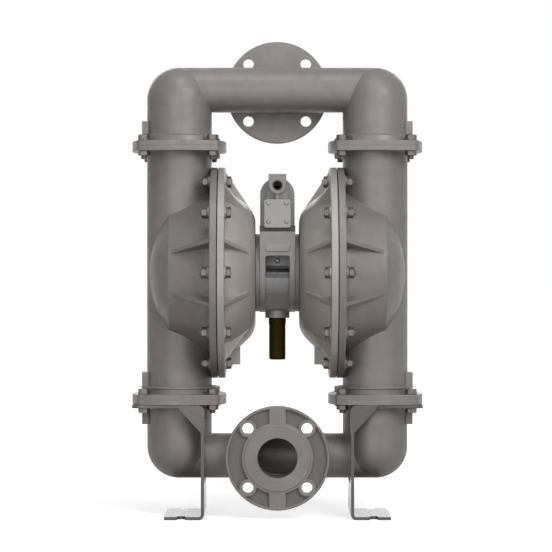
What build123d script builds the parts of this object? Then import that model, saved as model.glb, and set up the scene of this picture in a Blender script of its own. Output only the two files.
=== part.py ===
"""Air operated double diaphragm pump in cast metal, with 3 inch flanged ports and sheet metal feet.

Millimetres, +Z up, +X to the right and -Y to the front, where the inlet port and the air valve are.
The origin is on the floor, under the middle of the pump. Heights are given from the shaft axis.
"""

from build123d import *
import os
from math import asin, cos, degrees, radians, sin, sqrt

os.makedirs("parts", exist_ok=True)

# Layout, measured from the shaft axis and the pump's centre plane
shaft_height = 450.0
tube_offset = 181.0
joint_offset = 232.0
pipe_offset = 338.0
port_reach = 80.0

# Vertical tubes, elbows and cross pipes
tube_radius = 60.0
tube_wall = 8.0
elbow_corner = 59.5
pipe_radius = 41.5
pipe_wall = 7.0

# Port flanges, 3 inch class 150
port_bore = 73.0
port_neck_wall = 5.5
port_flange_diameter = 190.5
port_flange_thickness = 18.0
port_bolt_circle = 152.4
port_bolt_count = 4
port_bolt_hole = 20.0
port_face_diameter = 121.0
port_face_rise = 1.2
port_ring_diameter = 130.0
port_rim_width = 4.6
port_boss_diameter = 31.4
port_spoke_width = 30.0
port_pocket_depth = 7.0

# Square joint flanges between manifolds and liquid chambers
joint_flange_thickness = 9.5
joint_flange_half = 86.9
joint_side_radius = 216.0
joint_corner_radius = 9.0
joint_bolt_offset = 62.5
joint_bolt_radius = 6.35
joint_hole_radius = 7.0
joint_edge_round = 1.2
joint_pocket_radius = 19.5
manifold_hub_width = 12.0
manifold_hub_height = 10.0
chamber_hub_width = 8.0
collar_width = 10.5
collar_start = 9.6
collar_height = 4.0

# Cast pads on the outer side of the tubes
pad_rise = 8.6
pad_width = 40.0
pad_height = 24.0
pad_gap = 14.0
chamber_pad_height = 25.5

# Diaphragm seam and its bolted discs
seam_offset = 109.0
seam_gap = 2.0
disc_radius = 194.5
disc_thickness = 12.5
disc_edge = 1.2
disc_bolt_edge = 14.5
disc_bolt_angles = (-66.6, -36.7, 0.0, 36.7, 66.6)
disc_bolt_radius = 6.0
disc_hole_radius = 6.7
spot_radius = 11.5
spot_height = 2.5

# Liquid chamber dome
liquid_root_edge = 44.5
liquid_wall = 9.0
liquid_end_inset = 5.0
liquid_crease = (0.693, 0.80)

# Air chamber dome
air_root_edge = 42.5
air_wall = 9.0

# Ribs of both domes
rib_thickness = 7.0
rib_root_edge = 8.5
liquid_rib_angles = (-18.0, 18.0, 162.0, 198.0)
air_rib_angles = (-59.5, -18.0, 18.0, 59.5, 90.0, 120.5, 162.0, 198.0, 239.5)
air_rib_foot = 11.5
lug_height = 33.0
lug_reach = 27.0
lug_thickness = 10.0

# Ball check valves
ball_radius = 40.0
ball_travel = 22.0
ball_rise = 21.0
ball_guide_clearance = 0.8
seat_radius = 57.7
seat_height = 8.0
seat_bore_radius = 32.0
guide_thickness = 6.0
guide_inner_radius = 18.0
guide_height = 80.0
seal_section_radius = 1.75

# Clearances
contact_gap = 0.3
fit_gap = 0.05
seal_gap = 0.05
bore_gap = 0.2

# Diaphragms, pistons and main shaft
stroke_half = 38.0
shaft_radius = 15.9
shaft_stud_radius = 9.0
diaphragm_thickness = 5.0
diaphragm_rim_inset = 3.5
bead_edge = 31.5
bead_width = 10.0
bead_depth = 3.0
piston_radius = 105.0
piston_edge = 2.0
inner_piston_hub_radius = 40.0
inner_piston_height = 14.2
inner_piston_edge_height = 7.7
outer_piston_hub_radius = 28.0
outer_piston_height = 22.0
outer_piston_edge_height = 7.0
outer_piston_thread_depth = 16.0
disc_spring_thickness = 2.0

# Centre block
hub_face = 40.5
hub_gasket_thickness = 1.0
hub_disc_radius = 71.6
block_half_width = 32.3
block_radius = 73.0
block_top = 75.0
rail_width = 10.1
shell_radius = 66.0
window_top = 31.0
window_bottom = -10.0
window_corner = 4.0
window_wall = 34.0
window_slot_top = 12.5
window_slot_depth = 12.0
shell_crease = -36.0
brow_low = 39.0
brow_high = 54.0
brow_rise = 2.0
brow_corner = 4.5
exhaust_boss_radius = 22.4
exhaust_boss_end = 83.5
exhaust_radius = 10.5

# Bushings and seals of the main shaft
bushing_radius = 20.0
bushing_inner_end = 8.0
bushing_length = 26.0
shaft_seal_length = 4.5

# Pilot valve, which the inner pistons push at each end of the stroke
pilot_y = -45.0
pilot_z = -10.0
pilot_sleeve_radius = 18.0
pilot_land_radius = 8.0
pilot_rod_radius = 5.0
pilot_travel = 6.0
pilot_land_length = 8.0
pilot_land_spacing = 20.0
pilot_hole_clearance = 1.5
window_screw_z = 22.0
window_screw_head_radius = 4.9
window_screw_head_height = 5.0
window_screw_socket_radius = 1.8
window_screw_shank_radius = 2.5
window_screw_length = 9.0

# Screws between the air chambers and the centre block
hub_screw_circle_radius = 60.0
hub_screw_angles = (45, 135, 225, 315)
hub_screw_radius = 4.0
hub_screw_head_radius = 6.5
hub_screw_head_height = 8.0
hub_screw_length = 20.0
hub_screw_sink = 6.0

# Air passages
chamber_port_radius = 7.0
chamber_port_y = 10.0
chamber_port_x = 20.0
chamber_port_z = 45.0
exhaust_port_radius = 8.0
exhaust_port_y = 34.0
exhaust_turn_z = -48.0

# Air valve
valve_gasket_thickness = 1.8
valve_base_height = 9.2
valve_base_half_width = 32.8
valve_base_front = 57.7
valve_back = 48.0
valve_half_width = 31.8
valve_arc_height = 57.2
valve_shoulder_front = 26.0
cover_pad_half_width = 26.0
cover_pad_front = 57.7
cover_pad_height = 46.0
neck_half_width = 19.0
neck_front = 50.0
crown_half_width = 16.3
crown_front = 62.0
crown_top = 180.5
inlet_height = 159.2
inlet_boss_radius = 15.3
inlet_front = 66.0
inlet_thread_radius = 10.0
inlet_thread_length = 16.0
inlet_bore_radius = 6.6
web_half_width = 2.9
valve_spool_radius = 14.0
valve_spool_y = 8.0
valve_spool_length = 60.0
valve_spool_travel = 12.0
valve_spool_waist_radius = 8.0
valve_spool_land_length = 12.0
valve_screw_x = 22.0
valve_screw_front = -16.0
valve_screw_back = 40.0
valve_screw_radius = 3.0
valve_screw_head_radius = 5.0
valve_screw_head_height = 6.0
valve_screw_seat = 110.0
valve_screw_end = 60.0
valve_port_z = 100.0
valve_exhaust_z = 118.0

# Air valve cover
cover_width = 49.4
cover_bottom = 81.6
cover_top = 134.1
cover_thickness = 7.0
cover_corner = 5.0
cover_screw_x = 16.5
cover_screw_heights = (93.3, 127.0)
cover_screw_radius = 2.5
cover_screw_head_radius = 3.9
cover_screw_head_height = 2.6
cover_screw_socket_radius = 1.4
cover_screw_length = 14.0

# Muffler
muffler_radius = 15.2
muffler_end = 160.7
muffler_collar_rise = 0.7
muffler_collar_height = 11.0
muffler_nipple_radius = 10.3
muffler_nipple_length = 16.0
muffler_bore_radius = 7.0
muffler_vent_radius = 1.6
muffler_vent_drop = 17.0

# Stands, each one bent plate with welded gussets
plate_thickness = 5.8
stand_inner_face = 133.6
stand_half_depth = 86.0
stand_outer_bend = 10.0
stand_notch_half = 48.0
stand_notch_gap = 8.0
stand_tube_gap = 3.0
shelf_end = 266.0
shelf_half_depth = 78.0
shelf_corner = 14.0
gusset_end = 180.6
gusset_drop = 44.5
foot_end = 206.4
foot_slot_offset = 175.5
foot_slot_width = 15.3
foot_slot_depth = 18.0

# Hex fasteners
joint_head_across = 19.0
joint_head_height = 8.7
joint_nut_height = 9.0
joint_washer_radius = 11.5
joint_washer_thickness = 2.0
joint_bolt_tail = 0.5
disc_head_across = 18.0
disc_head_height = 7.5
disc_nut_height = 9.5
disc_washer_radius = 11.0
disc_washer_thickness = 2.0
disc_bolt_tail = 3.0
thread_gap = 0.1

# Places worked out from the sizes above
tube_bore_radius = tube_radius - tube_wall
pipe_bore_radius = pipe_radius - pipe_wall
pipe_top = pipe_offset + pipe_radius
seam_half_gap = seam_gap / 2
disc_back = seam_offset - seam_half_gap - disc_thickness
disc_front = seam_offset + seam_half_gap + disc_thickness
disc_bolt_circle_radius = disc_radius - disc_bolt_edge
liquid_root_radius = disc_radius - liquid_root_edge
air_root_radius = disc_radius - air_root_edge
rib_root_radius = disc_radius - rib_root_edge
bead_radius = disc_radius - bead_edge
liquid_depth = tube_offset + tube_radius - liquid_end_inset - seam_offset
seat_recess_radius = seat_radius + contact_gap
air_plate_inside = hub_face + air_wall
piston_back = seam_offset - diaphragm_thickness / 2 - contact_gap
piston_front = seam_offset + diaphragm_thickness / 2 + contact_gap
stand_foot_top = plate_thickness - shaft_height
joint_underside = joint_offset + joint_flange_thickness
shelf_underside = joint_underside + plate_thickness
valve_base_bottom = block_top + valve_gasket_thickness
valve_bottom = valve_base_bottom + valve_base_height
valve_spool_bottom = valve_bottom + contact_gap
valve_bore_top = valve_spool_bottom + valve_spool_length + valve_spool_travel + contact_gap
piston_rear = piston_back - inner_piston_height
shaft_shoulder = piston_rear - disc_spring_thickness
pilot_tip = piston_rear - stroke_half + pilot_travel - contact_gap
shaft_centre = Vector(0, 0, shaft_height)
shaft_axis = Axis((0, 0, shaft_height), (1, 0, 0))


def level(height):
    """Horizontal plane at a height from the shaft axis."""
    return Plane.XY.offset(shaft_height + height)


def upright(y=0.0):
    """Upright plane that faces the front, with its origin beside the shaft's middle."""
    return Plane(origin=(0, y, shaft_height), x_dir=(1, 0, 0), z_dir=(0, -1, 0))


def turned(points, mode=Mode.ADD):
    """Turn a closed outline of (distance along the shaft, radius) points about the shaft axis."""
    with BuildSketch(upright()) as section:
        with BuildLine():
            Polyline(*points, close=True)
        make_face()
    revolve(section.sketch, axis=shaft_axis, mode=mode)


def upright_turned(x, points, mode=Mode.ADD):
    """Turn a closed outline of (radius, height) points about an upright axis at x."""
    with BuildSketch(Plane(origin=(x, 0, shaft_height), x_dir=(1, 0, 0), z_dir=(0, -1, 0))) as section:
        with BuildLine():
            Polyline(*points, close=True)
        make_face()
    revolve(section.sketch, axis=Axis((x, 0, 0), (0, 0, 1)), mode=mode)


def rod(start, end, radius, mode=Mode.ADD):
    """Round bar between two points that are measured from the shaft's middle."""
    first = Vector(*start) + shaft_centre
    run = Vector(*end) - Vector(*start)
    with BuildSketch(Plane(origin=first, z_dir=run)) as section:
        Circle(radius)
    extrude(section.sketch, amount=run.length, mode=mode)


def brick(x_span, y_span, z_span, mode=Mode.ADD):
    """Rectangular block between pairs of x, y and z values, measured from the shaft's middle."""
    with BuildSketch(level(z_span[0])) as section:
        with Locations((sum(x_span) / 2, sum(y_span) / 2)):
            Rectangle(abs(x_span[1] - x_span[0]), abs(y_span[1] - y_span[0]))
    extrude(section.sketch, amount=z_span[1] - z_span[0], mode=mode)


def around_shaft(radius, angle):
    """The y and z of a point on a circle about the shaft, at an angle up from the front."""
    return (-radius * cos(radians(angle)), radius * sin(radians(angle)))


def disc_bolt_places():
    """The y and z of every bolt of a disc joint, front half and back half alike."""
    back = [180 - angle for angle in disc_bolt_angles]
    return [around_shaft(disc_bolt_circle_radius, angle) for angle in (*disc_bolt_angles, *back)]


def joint_bolt_places(tube):
    """The x and y of the four bolts round one vertical tube."""
    signs = (-1, 1)
    return [(tube + i * joint_bolt_offset, j * joint_bolt_offset) for i in signs for j in signs]


def hex_bolt(seat, radius, length, across, height):
    """Hex head on the seat plane, with its shank running back through the joint."""
    with BuildSketch(seat) as section:
        RegularPolygon(across / 2, 6, major_radius=False)
    extrude(section.sketch, amount=height)
    with BuildSketch(seat) as section:
        Circle(radius)
    extrude(section.sketch, amount=-length)


def hex_nut(seat, radius, across, height):
    """Hex nut that stands on the seat plane."""
    with BuildSketch(seat) as section:
        RegularPolygon(across / 2, 6, major_radius=False)
        Circle(radius + thread_gap, mode=Mode.SUBTRACT)
    extrude(section.sketch, amount=height)


def washer(seat, radius, outer, thickness):
    """Flat washer that lies on the seat plane."""
    with BuildSketch(seat) as section:
        Circle(outer)
        Circle(radius + bore_gap, mode=Mode.SUBTRACT)
    extrude(section.sketch, amount=thickness)


def write(piece, name):
    """Label a finished piece and write it as its own file."""
    piece.label = name
    export_step(piece, f"parts/{name}.step")


# Outline of the square joint flange, with bowed sides and round corners
with BuildSketch() as joint_outline:
    side_reach = joint_side_radius - joint_flange_half
    corner = (sqrt(2 * joint_side_radius**2 - side_reach**2) - side_reach) / 2
    side = (Vector(corner, -corner), Vector(joint_flange_half, 0), Vector(corner, corner))
    with BuildLine():
        for quarter in range(4):
            ThreePointArc(*[point.rotate(Axis.Z, 90 * quarter) for point in side])
    make_face()
    fillet(joint_outline.vertices(), joint_corner_radius)


def joint_plate(tube, face, direction):
    """Square flange round a tube, from the joint face along direction, with rounded edges."""
    with BuildSketch(level(face)) as section:
        with Locations((tube, 0)):
            add(joint_outline.sketch)
    extrude(section.sketch, amount=direction * joint_flange_thickness)


def joint_holes(face, direction):
    """Bolt holes through the square flanges of both tubes."""
    for tube in both_tubes:
        with BuildSketch(level(face)) as section:
            with Locations(*joint_bolt_places(tube)):
                Circle(joint_hole_radius)
        extrude(section.sketch, amount=direction * joint_flange_thickness, mode=Mode.SUBTRACT)


def elbow(tube, inset, mode=Mode.ADD):
    """Upright tube end with a rounded cap, from the joint face to the pipe's top."""
    radius = tube_radius - inset
    corner_radius = elbow_corner - inset
    top = pipe_top - inset
    shoulder = top - corner_radius
    slant = corner_radius * sqrt(0.5)
    middle = (radius - corner_radius + slant, shoulder + slant)
    with BuildSketch(Plane(origin=(tube, 0, shaft_height), x_dir=(1, 0, 0), z_dir=(0, -1, 0))) as section:
        with BuildLine():
            Polyline((0, top), (0, joint_offset), (radius, joint_offset), (radius, shoulder))
            ThreePointArc((radius, shoulder), middle, (radius - corner_radius, top))
            Line((radius - corner_radius, top), (0, top))
        make_face()
    revolve(section.sketch, axis=Axis((tube, 0, 0), (0, 0, 1)), mode=mode)


def tube_pad(tube, low, high):
    """Flat cast pad on a tube's outer side."""
    outer = tube_radius + pad_rise
    sign = 1 if tube > 0 else -1
    inner = tube_radius - tube_wall / 2
    brick((tube + sign * inner, tube + sign * outer), (-pad_width / 2, pad_width / 2), (low, high))


def ball_guides(tube, seat_face):
    """Four upright fins in a tube that guide and stop the ball above its seat."""
    outer = tube_radius - tube_wall / 2
    with BuildSketch(level(seat_face + contact_gap)) as section:
        with Locations((tube, 0)):
            with PolarLocations((guide_inner_radius + outer) / 2, 4, start_angle=45):
                Rectangle(outer - guide_inner_radius, guide_thickness)
    extrude(section.sketch, amount=guide_height)
    low = seat_face + ball_rise
    high = low + ball_travel
    rod((tube, 0, low), (tube, 0, high), ball_radius + ball_guide_clearance, Mode.SUBTRACT)
    for height in (low, high):
        with Locations((tube, 0, shaft_height + height)):
            Sphere(ball_radius + contact_gap, mode=Mode.SUBTRACT)


def joint_rims(height):
    """Outer edges of the square flanges at a height, as they are before the tubes join them."""
    casting = BuildPart._get_context()
    return casting.edges().filter_by_position(Axis.Z, shaft_height + height, shaft_height + height)


both_tubes = (-tube_offset, tube_offset)

# Manifold casting as both ends of the pump use it: two elbows, the cross pipe and a port to the back
with BuildPart() as manifold_casting:
    for tube in both_tubes:
        joint_plate(tube, joint_offset, 1)
    fillet(joint_rims(joint_underside), joint_edge_round)
    for tube in both_tubes:
        elbow(tube, 0)
        pad_start = joint_underside + pad_gap
        tube_pad(tube, pad_start, pad_start + pad_height)
    rod((-tube_offset, 0, pipe_offset), (tube_offset, 0, pipe_offset), pipe_radius)
    port_axis = Axis((0, 0, shaft_height + pipe_offset), (0, 1, 0))
    port_inside = port_reach - port_flange_thickness
    port_rim_radius = port_flange_diameter / 2
    port_outline = (
        (0, 0),
        (0, port_bore / 2 + port_neck_wall),
        (port_inside, port_bore / 2 + port_neck_wall),
        (port_inside, port_rim_radius - joint_edge_round),
        (port_inside + joint_edge_round, port_rim_radius),
        (port_reach - joint_edge_round, port_rim_radius),
        (port_reach, port_rim_radius - joint_edge_round),
        (port_reach, port_face_diameter / 2),
        (port_reach + port_face_rise, port_face_diameter / 2),
        (port_reach + port_face_rise, 0),
    )
    with BuildSketch(Plane(origin=(0, 0, shaft_height + pipe_offset), x_dir=(0, 1, 0), z_dir=(1, 0, 0))):
        with BuildLine():
            Polyline(*port_outline, close=True)
        make_face()
    revolve(axis=port_axis)
    with BuildSketch(upright(port_reach)):
        with Locations((0, pipe_offset)):
            Circle(port_rim_radius - port_rim_width)
            Circle(port_ring_diameter / 2, mode=Mode.SUBTRACT)
            Rectangle(port_spoke_width, port_flange_diameter, mode=Mode.SUBTRACT)
            with PolarLocations(port_bolt_circle / 2, port_bolt_count, start_angle=45):
                Circle(port_boss_diameter / 2, mode=Mode.SUBTRACT)
    extrude(amount=port_pocket_depth, mode=Mode.SUBTRACT)
    with BuildSketch(upright(port_reach)):
        with Locations((0, pipe_offset)):
            with PolarLocations(port_bolt_circle / 2, port_bolt_count, start_angle=45):
                Circle(port_bolt_hole / 2)
    extrude(amount=port_flange_thickness, mode=Mode.SUBTRACT)
    for tube in both_tubes:
        elbow(tube, tube_wall, Mode.SUBTRACT)
    rod((-tube_offset, 0, pipe_offset), (tube_offset, 0, pipe_offset), pipe_bore_radius, Mode.SUBTRACT)
    port_mouth = (0, port_reach + port_face_rise, pipe_offset)
    rod((0, 0, pipe_offset), port_mouth, port_bore / 2, Mode.SUBTRACT)
    joint_holes(joint_offset, 1)

# Discharge manifold: the casting with bolt hubs, and the upper ball guides in its elbows
with BuildPart() as discharge_manifold:
    add(manifold_casting.part)
    for tube in both_tubes:
        hub = tube_radius + manifold_hub_width
        hub_top = joint_underside + manifold_hub_height
        hub_outline = (
            (tube_radius - 1, joint_underside),
            (hub, joint_underside),
            (hub - 1.5, hub_top),
            (tube_radius, hub_top + 3),
            (tube_radius - 1, hub_top + 3),
        )
        upright_turned(tube, hub_outline)
        for x, y in joint_bolt_places(tube):
            rod((x, y, joint_underside), (x, y, hub_top + 4), joint_pocket_radius, Mode.SUBTRACT)
        ball_guides(tube, joint_offset)
write(discharge_manifold.part, "discharge_manifold")

# Inlet manifold: the casting turned over, with a recess for each lower valve seat
with BuildPart() as inlet_manifold:
    add(manifold_casting.part.rotate(shaft_axis, 180))
    for tube in both_tubes:
        recess = -joint_offset - seat_height
        rod((tube, 0, recess), (tube, 0, -joint_offset), seat_recess_radius, Mode.SUBTRACT)
write(inlet_manifold.part, "inlet_manifold")


def liquid_dome(depth, root, mode=Mode.ADD):
    """Bowl of the liquid side, turned about the shaft from the disc face to its blunt end."""
    start = seam_offset + seam_half_gap
    stations = [
        liquid_crease,
        (0.780, 0.693),
        (0.870, 0.563),
        (0.935, 0.400),
        (0.980, 0.220),
        (1.000, 0.0),
    ]
    points = [(start + along * depth, share * root) for along, share in stations]
    with BuildSketch(upright()) as section:
        with BuildLine():
            shoulder = (start + 0.16 * depth, 0.98 * root)
            Polyline((points[-1][0], 0), (start, 0), (start, root), shoulder, points[0])
            Spline(*points)
        make_face()
    revolve(section.sketch, axis=shaft_axis, mode=mode)


def dome_rib(angle, outline):
    """Thin rib in a plane through the shaft axis, from (distance along the shaft, radius) points."""
    turn = radians(angle)
    rib_plane = Plane(origin=shaft_centre, x_dir=(1, 0, 0), z_dir=(0, -sin(turn), -cos(turn)))
    with BuildSketch(rib_plane) as section:
        with BuildLine():
            Polyline(*outline, close=True)
        make_face()
    extrude(section.sketch, amount=rib_thickness / 2, both=True)


def bead_groove(face, direction):
    """Groove that holds the diaphragm's bead, cut into a disc face."""
    inner = bead_radius - bead_width / 2
    outer = bead_radius + bead_width / 2
    floor = face + direction * bead_depth
    turned(((face, inner), (face, outer), (floor, outer), (floor, inner)), Mode.SUBTRACT)


def disc_with_bosses(face, back, direction):
    """Bolting disc with a chamfered rim and a raised spot face at each bolt."""
    edge = disc_radius - disc_edge
    rim = (
        (face, 0),
        (face, disc_radius),
        (back - direction * disc_edge, disc_radius),
        (back, edge),
        (back, 0),
    )
    turned(rim)
    for y, z in disc_bolt_places():
        rod((face, y, z), (back + direction * spot_height, y, z), spot_radius)


def disc_holes(low, high):
    """Bolt holes through a disc, cut last so that they open every boss."""
    for y, z in disc_bolt_places():
        rod((low, y, z), (high, y, z), disc_hole_radius, Mode.SUBTRACT)


# Right liquid chamber: dome, upright tube, joint flanges and the lower ball guides
with BuildPart() as right_liquid_chamber:
    joint_plate(tube_offset, joint_offset, -1)
    joint_plate(tube_offset, -joint_offset, 1)
    plate_inside = joint_offset - joint_flange_thickness
    fillet(joint_rims(plate_inside) + joint_rims(-plate_inside), joint_edge_round)
    rod((tube_offset, 0, -joint_offset), (tube_offset, 0, joint_offset), tube_radius)
    chamber_hub = tube_radius + chamber_hub_width
    collar_low = -plate_inside + collar_start
    rod((tube_offset, 0, -plate_inside), (tube_offset, 0, collar_low), chamber_hub)
    for x, y in joint_bolt_places(tube_offset):
        rod((x, y, -plate_inside), (x, y, collar_low), joint_pocket_radius + 1, Mode.SUBTRACT)
    collar_high = collar_low + collar_height
    rod((tube_offset, 0, collar_low), (tube_offset, 0, collar_high), tube_radius + collar_width)
    tube_pad(tube_offset, collar_high, collar_high + chamber_pad_height)
    disc_with_bosses(seam_offset + seam_half_gap, disc_front, 1)
    liquid_dome(liquid_depth, liquid_root_radius)
    crease_x = seam_offset + liquid_crease[0] * liquid_depth
    crease_radius = liquid_crease[1] * liquid_root_radius
    rib_outline = (
        (disc_front - 1, rib_root_radius),
        (disc_front, rib_root_radius),
        (crease_x - 4, crease_radius + 1.5),
        (crease_x - 4, crease_radius - 4),
        (disc_front - 1, liquid_root_radius - 6),
    )
    for rib_angle in liquid_rib_angles:
        dome_rib(rib_angle, rib_outline)
    rod((tube_offset, 0, -joint_offset), (tube_offset, 0, joint_offset), tube_bore_radius, Mode.SUBTRACT)
    liquid_dome(liquid_depth - liquid_wall, liquid_root_radius - liquid_wall, Mode.SUBTRACT)
    recess_floor = (tube_offset, 0, joint_offset - seat_height)
    rod(recess_floor, (tube_offset, 0, joint_offset), seat_recess_radius, Mode.SUBTRACT)
    ball_guides(tube_offset, -joint_offset)
    bead_groove(seam_offset + seam_half_gap, 1)
    disc_holes(seam_offset, disc_front + spot_height)
    joint_holes(joint_offset, -1)
    joint_holes(-joint_offset, 1)

with BuildPart() as left_liquid_chamber:
    mirror(right_liquid_chamber.part, about=Plane.YZ)
write(right_liquid_chamber.part, "right_liquid_chamber")
write(left_liquid_chamber.part, "left_liquid_chamber")


def air_dome(inner_face, outer_face, root, mode=Mode.ADD):
    """Bowl of the air side, turned about the shaft from its hub plate to the disc."""
    width = outer_face - inner_face
    stations = ((0, 0.632), (0.058, 0.710), (0.127, 0.757), (0.256, 0.812), (0.509, 0.898), (1, 1))
    curve = [(inner_face + along * width, share * root) for along, share in stations]
    with BuildSketch(upright()) as section:
        with BuildLine():
            Polyline(curve[-1], (outer_face, 0), (inner_face, 0), curve[0])
            Spline(*curve)
        make_face()
    revolve(section.sketch, axis=shaft_axis, mode=mode)


# Right air chamber: bowl, ribs, the lug under it, and its holes for shaft, pilot rod and air
with BuildPart() as right_air_chamber:
    disc_with_bosses(seam_offset - seam_half_gap, disc_back, -1)
    air_dome(hub_face, disc_back + 1, air_root_radius)
    dome_width = disc_back - hub_face
    rib_foot = hub_face + air_rib_foot
    air_rib_outline = (
        (disc_back + 1, rib_root_radius),
        (disc_back, rib_root_radius),
        (rib_foot, 0.796 * air_root_radius),
        (rib_foot, 0.796 * air_root_radius - 8),
        (disc_back + 1, air_root_radius - 6),
    )
    for rib_angle in air_rib_angles:
        dome_rib(rib_angle, air_rib_outline)
    lug_spread = (disc_back - lug_reach, disc_back + 1)
    lug_bottom = -0.9 * air_root_radius - lug_height
    brick(lug_spread, (-lug_thickness / 2, lug_thickness / 2), (lug_bottom, -0.88 * air_root_radius))
    air_dome(air_plate_inside, disc_back + air_wall / 2, air_root_radius - air_wall, Mode.SUBTRACT)
    cavity_radius = air_root_radius - air_wall
    cavity_start = disc_back + air_wall / 2
    cavity_end = seam_offset - seam_half_gap
    mouth = ((cavity_start, 0), (cavity_start, cavity_radius), (cavity_end, cavity_radius), (cavity_end, 0))
    turned(mouth, Mode.SUBTRACT)
    bead_groove(seam_offset - seam_half_gap, -1)
    rod((hub_face, 0, 0), (air_plate_inside, 0, 0), bushing_radius + 4, Mode.SUBTRACT)
    pilot_hole = pilot_rod_radius + pilot_hole_clearance
    rod((hub_face, pilot_y, pilot_z), (air_plate_inside, pilot_y, pilot_z), pilot_hole, Mode.SUBTRACT)
    air_start = (hub_face, chamber_port_y, chamber_port_z)
    air_end = (air_plate_inside, chamber_port_y, chamber_port_z)
    rod(air_start, air_end, chamber_port_radius, Mode.SUBTRACT)
    for y, z in [around_shaft(hub_screw_circle_radius, angle) for angle in hub_screw_angles]:
        rod((hub_face, y, z), (air_plate_inside, y, z), hub_screw_radius + bore_gap, Mode.SUBTRACT)
        sunk = air_plate_inside - hub_screw_sink
        rod((sunk, y, z), (air_plate_inside, y, z), hub_screw_head_radius + 0.5, Mode.SUBTRACT)
    disc_holes(disc_back - spot_height, seam_offset)

with BuildPart() as left_air_chamber:
    mirror(right_air_chamber.part, about=Plane.YZ)
write(right_air_chamber.part, "right_air_chamber")
write(left_air_chamber.part, "left_air_chamber")

# Right diaphragm: flat web, thin rim between the discs, and a round bead in the grooves
with BuildPart() as right_diaphragm:
    web_half = diaphragm_thickness / 2
    web_radius = min(air_root_radius - air_wall, liquid_root_radius - liquid_wall) - 3
    bead_inner = bead_radius - bead_width / 2 + contact_gap
    bead_outer = bead_radius + bead_width / 2 - contact_gap
    bead_half = seam_half_gap + bead_depth - bore_gap
    stud_hole = shaft_stud_radius + contact_gap
    half_outline = [
        (web_half, stud_hole),
        (web_half, web_radius),
        (seam_half_gap, web_radius + 2),
        (seam_half_gap, bead_inner),
        (bead_half, bead_inner),
        (bead_half, bead_outer),
        (seam_half_gap, bead_outer),
        (seam_half_gap, disc_radius - diaphragm_rim_inset),
    ]
    left_half = [(seam_offset - offset, radius) for offset, radius in half_outline]
    right_half = [(seam_offset + offset, radius) for offset, radius in reversed(half_outline)]
    turned(left_half + right_half)
    disc_holes(seam_offset - seam_gap, seam_offset + seam_gap)

with BuildPart() as left_diaphragm:
    mirror(right_diaphragm.part, about=Plane.YZ)
write(right_diaphragm.part, "right_diaphragm")
write(left_diaphragm.part, "left_diaphragm")

# Right inner piston, on the air side of the diaphragm
with BuildPart() as right_inner_piston:
    bore = shaft_stud_radius + bore_gap
    back = piston_back - inner_piston_height
    edge_back = piston_back - inner_piston_edge_height
    inner_outline = (
        (back, bore),
        (back, inner_piston_hub_radius),
        (edge_back, piston_radius - piston_edge),
        (edge_back + piston_edge, piston_radius),
        (piston_back - piston_edge, piston_radius),
        (piston_back, piston_radius - piston_edge),
        (piston_back, bore),
    )
    turned(inner_outline)

with BuildPart() as left_inner_piston:
    mirror(right_inner_piston.part, about=Plane.YZ)
write(right_inner_piston.part, "right_inner_piston")
write(left_inner_piston.part, "left_inner_piston")

# Right outer piston, on the liquid side, screwed onto the shaft's stud
with BuildPart() as right_outer_piston:
    tip = piston_front + outer_piston_height
    edge_front = piston_front + outer_piston_edge_height
    outer_outline = (
        (piston_front, 0),
        (piston_front, piston_radius - piston_edge),
        (piston_front + piston_edge, piston_radius),
        (edge_front - piston_edge, piston_radius),
        (edge_front, piston_radius - piston_edge),
        (tip - 4, outer_piston_hub_radius + 6),
        (tip, outer_piston_hub_radius),
        (tip, 0),
    )
    turned(outer_outline)
    thread_end = piston_front + outer_piston_thread_depth
    rod((piston_front, 0, 0), (thread_end, 0, 0), shaft_stud_radius + bore_gap, Mode.SUBTRACT)

with BuildPart() as left_outer_piston:
    mirror(right_outer_piston.part, about=Plane.YZ)
write(right_outer_piston.part, "right_outer_piston")
write(left_outer_piston.part, "left_outer_piston")

# Right disc spring, between the shaft's shoulder and the inner piston
with BuildPart() as right_disc_spring:
    spring_outline = (
        (shaft_shoulder, shaft_stud_radius + bore_gap),
        (shaft_shoulder + disc_spring_thickness / 2, shaft_radius),
        (shaft_shoulder + disc_spring_thickness, shaft_radius),
        (shaft_shoulder + disc_spring_thickness / 2, shaft_stud_radius + bore_gap),
    )
    turned(spring_outline)

with BuildPart() as left_disc_spring:
    mirror(right_disc_spring.part, about=Plane.YZ)
write(right_disc_spring.part, "right_disc_spring")
write(left_disc_spring.part, "left_disc_spring")

# Main shaft, with a stud on each end
with BuildPart() as main_shaft:
    rod((-shaft_shoulder, 0, 0), (shaft_shoulder, 0, 0), shaft_radius)
    stud_end = thread_end - 1
    rod((-stud_end, 0, 0), (stud_end, 0, 0), shaft_stud_radius)
write(main_shaft.part, "main_shaft")

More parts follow.
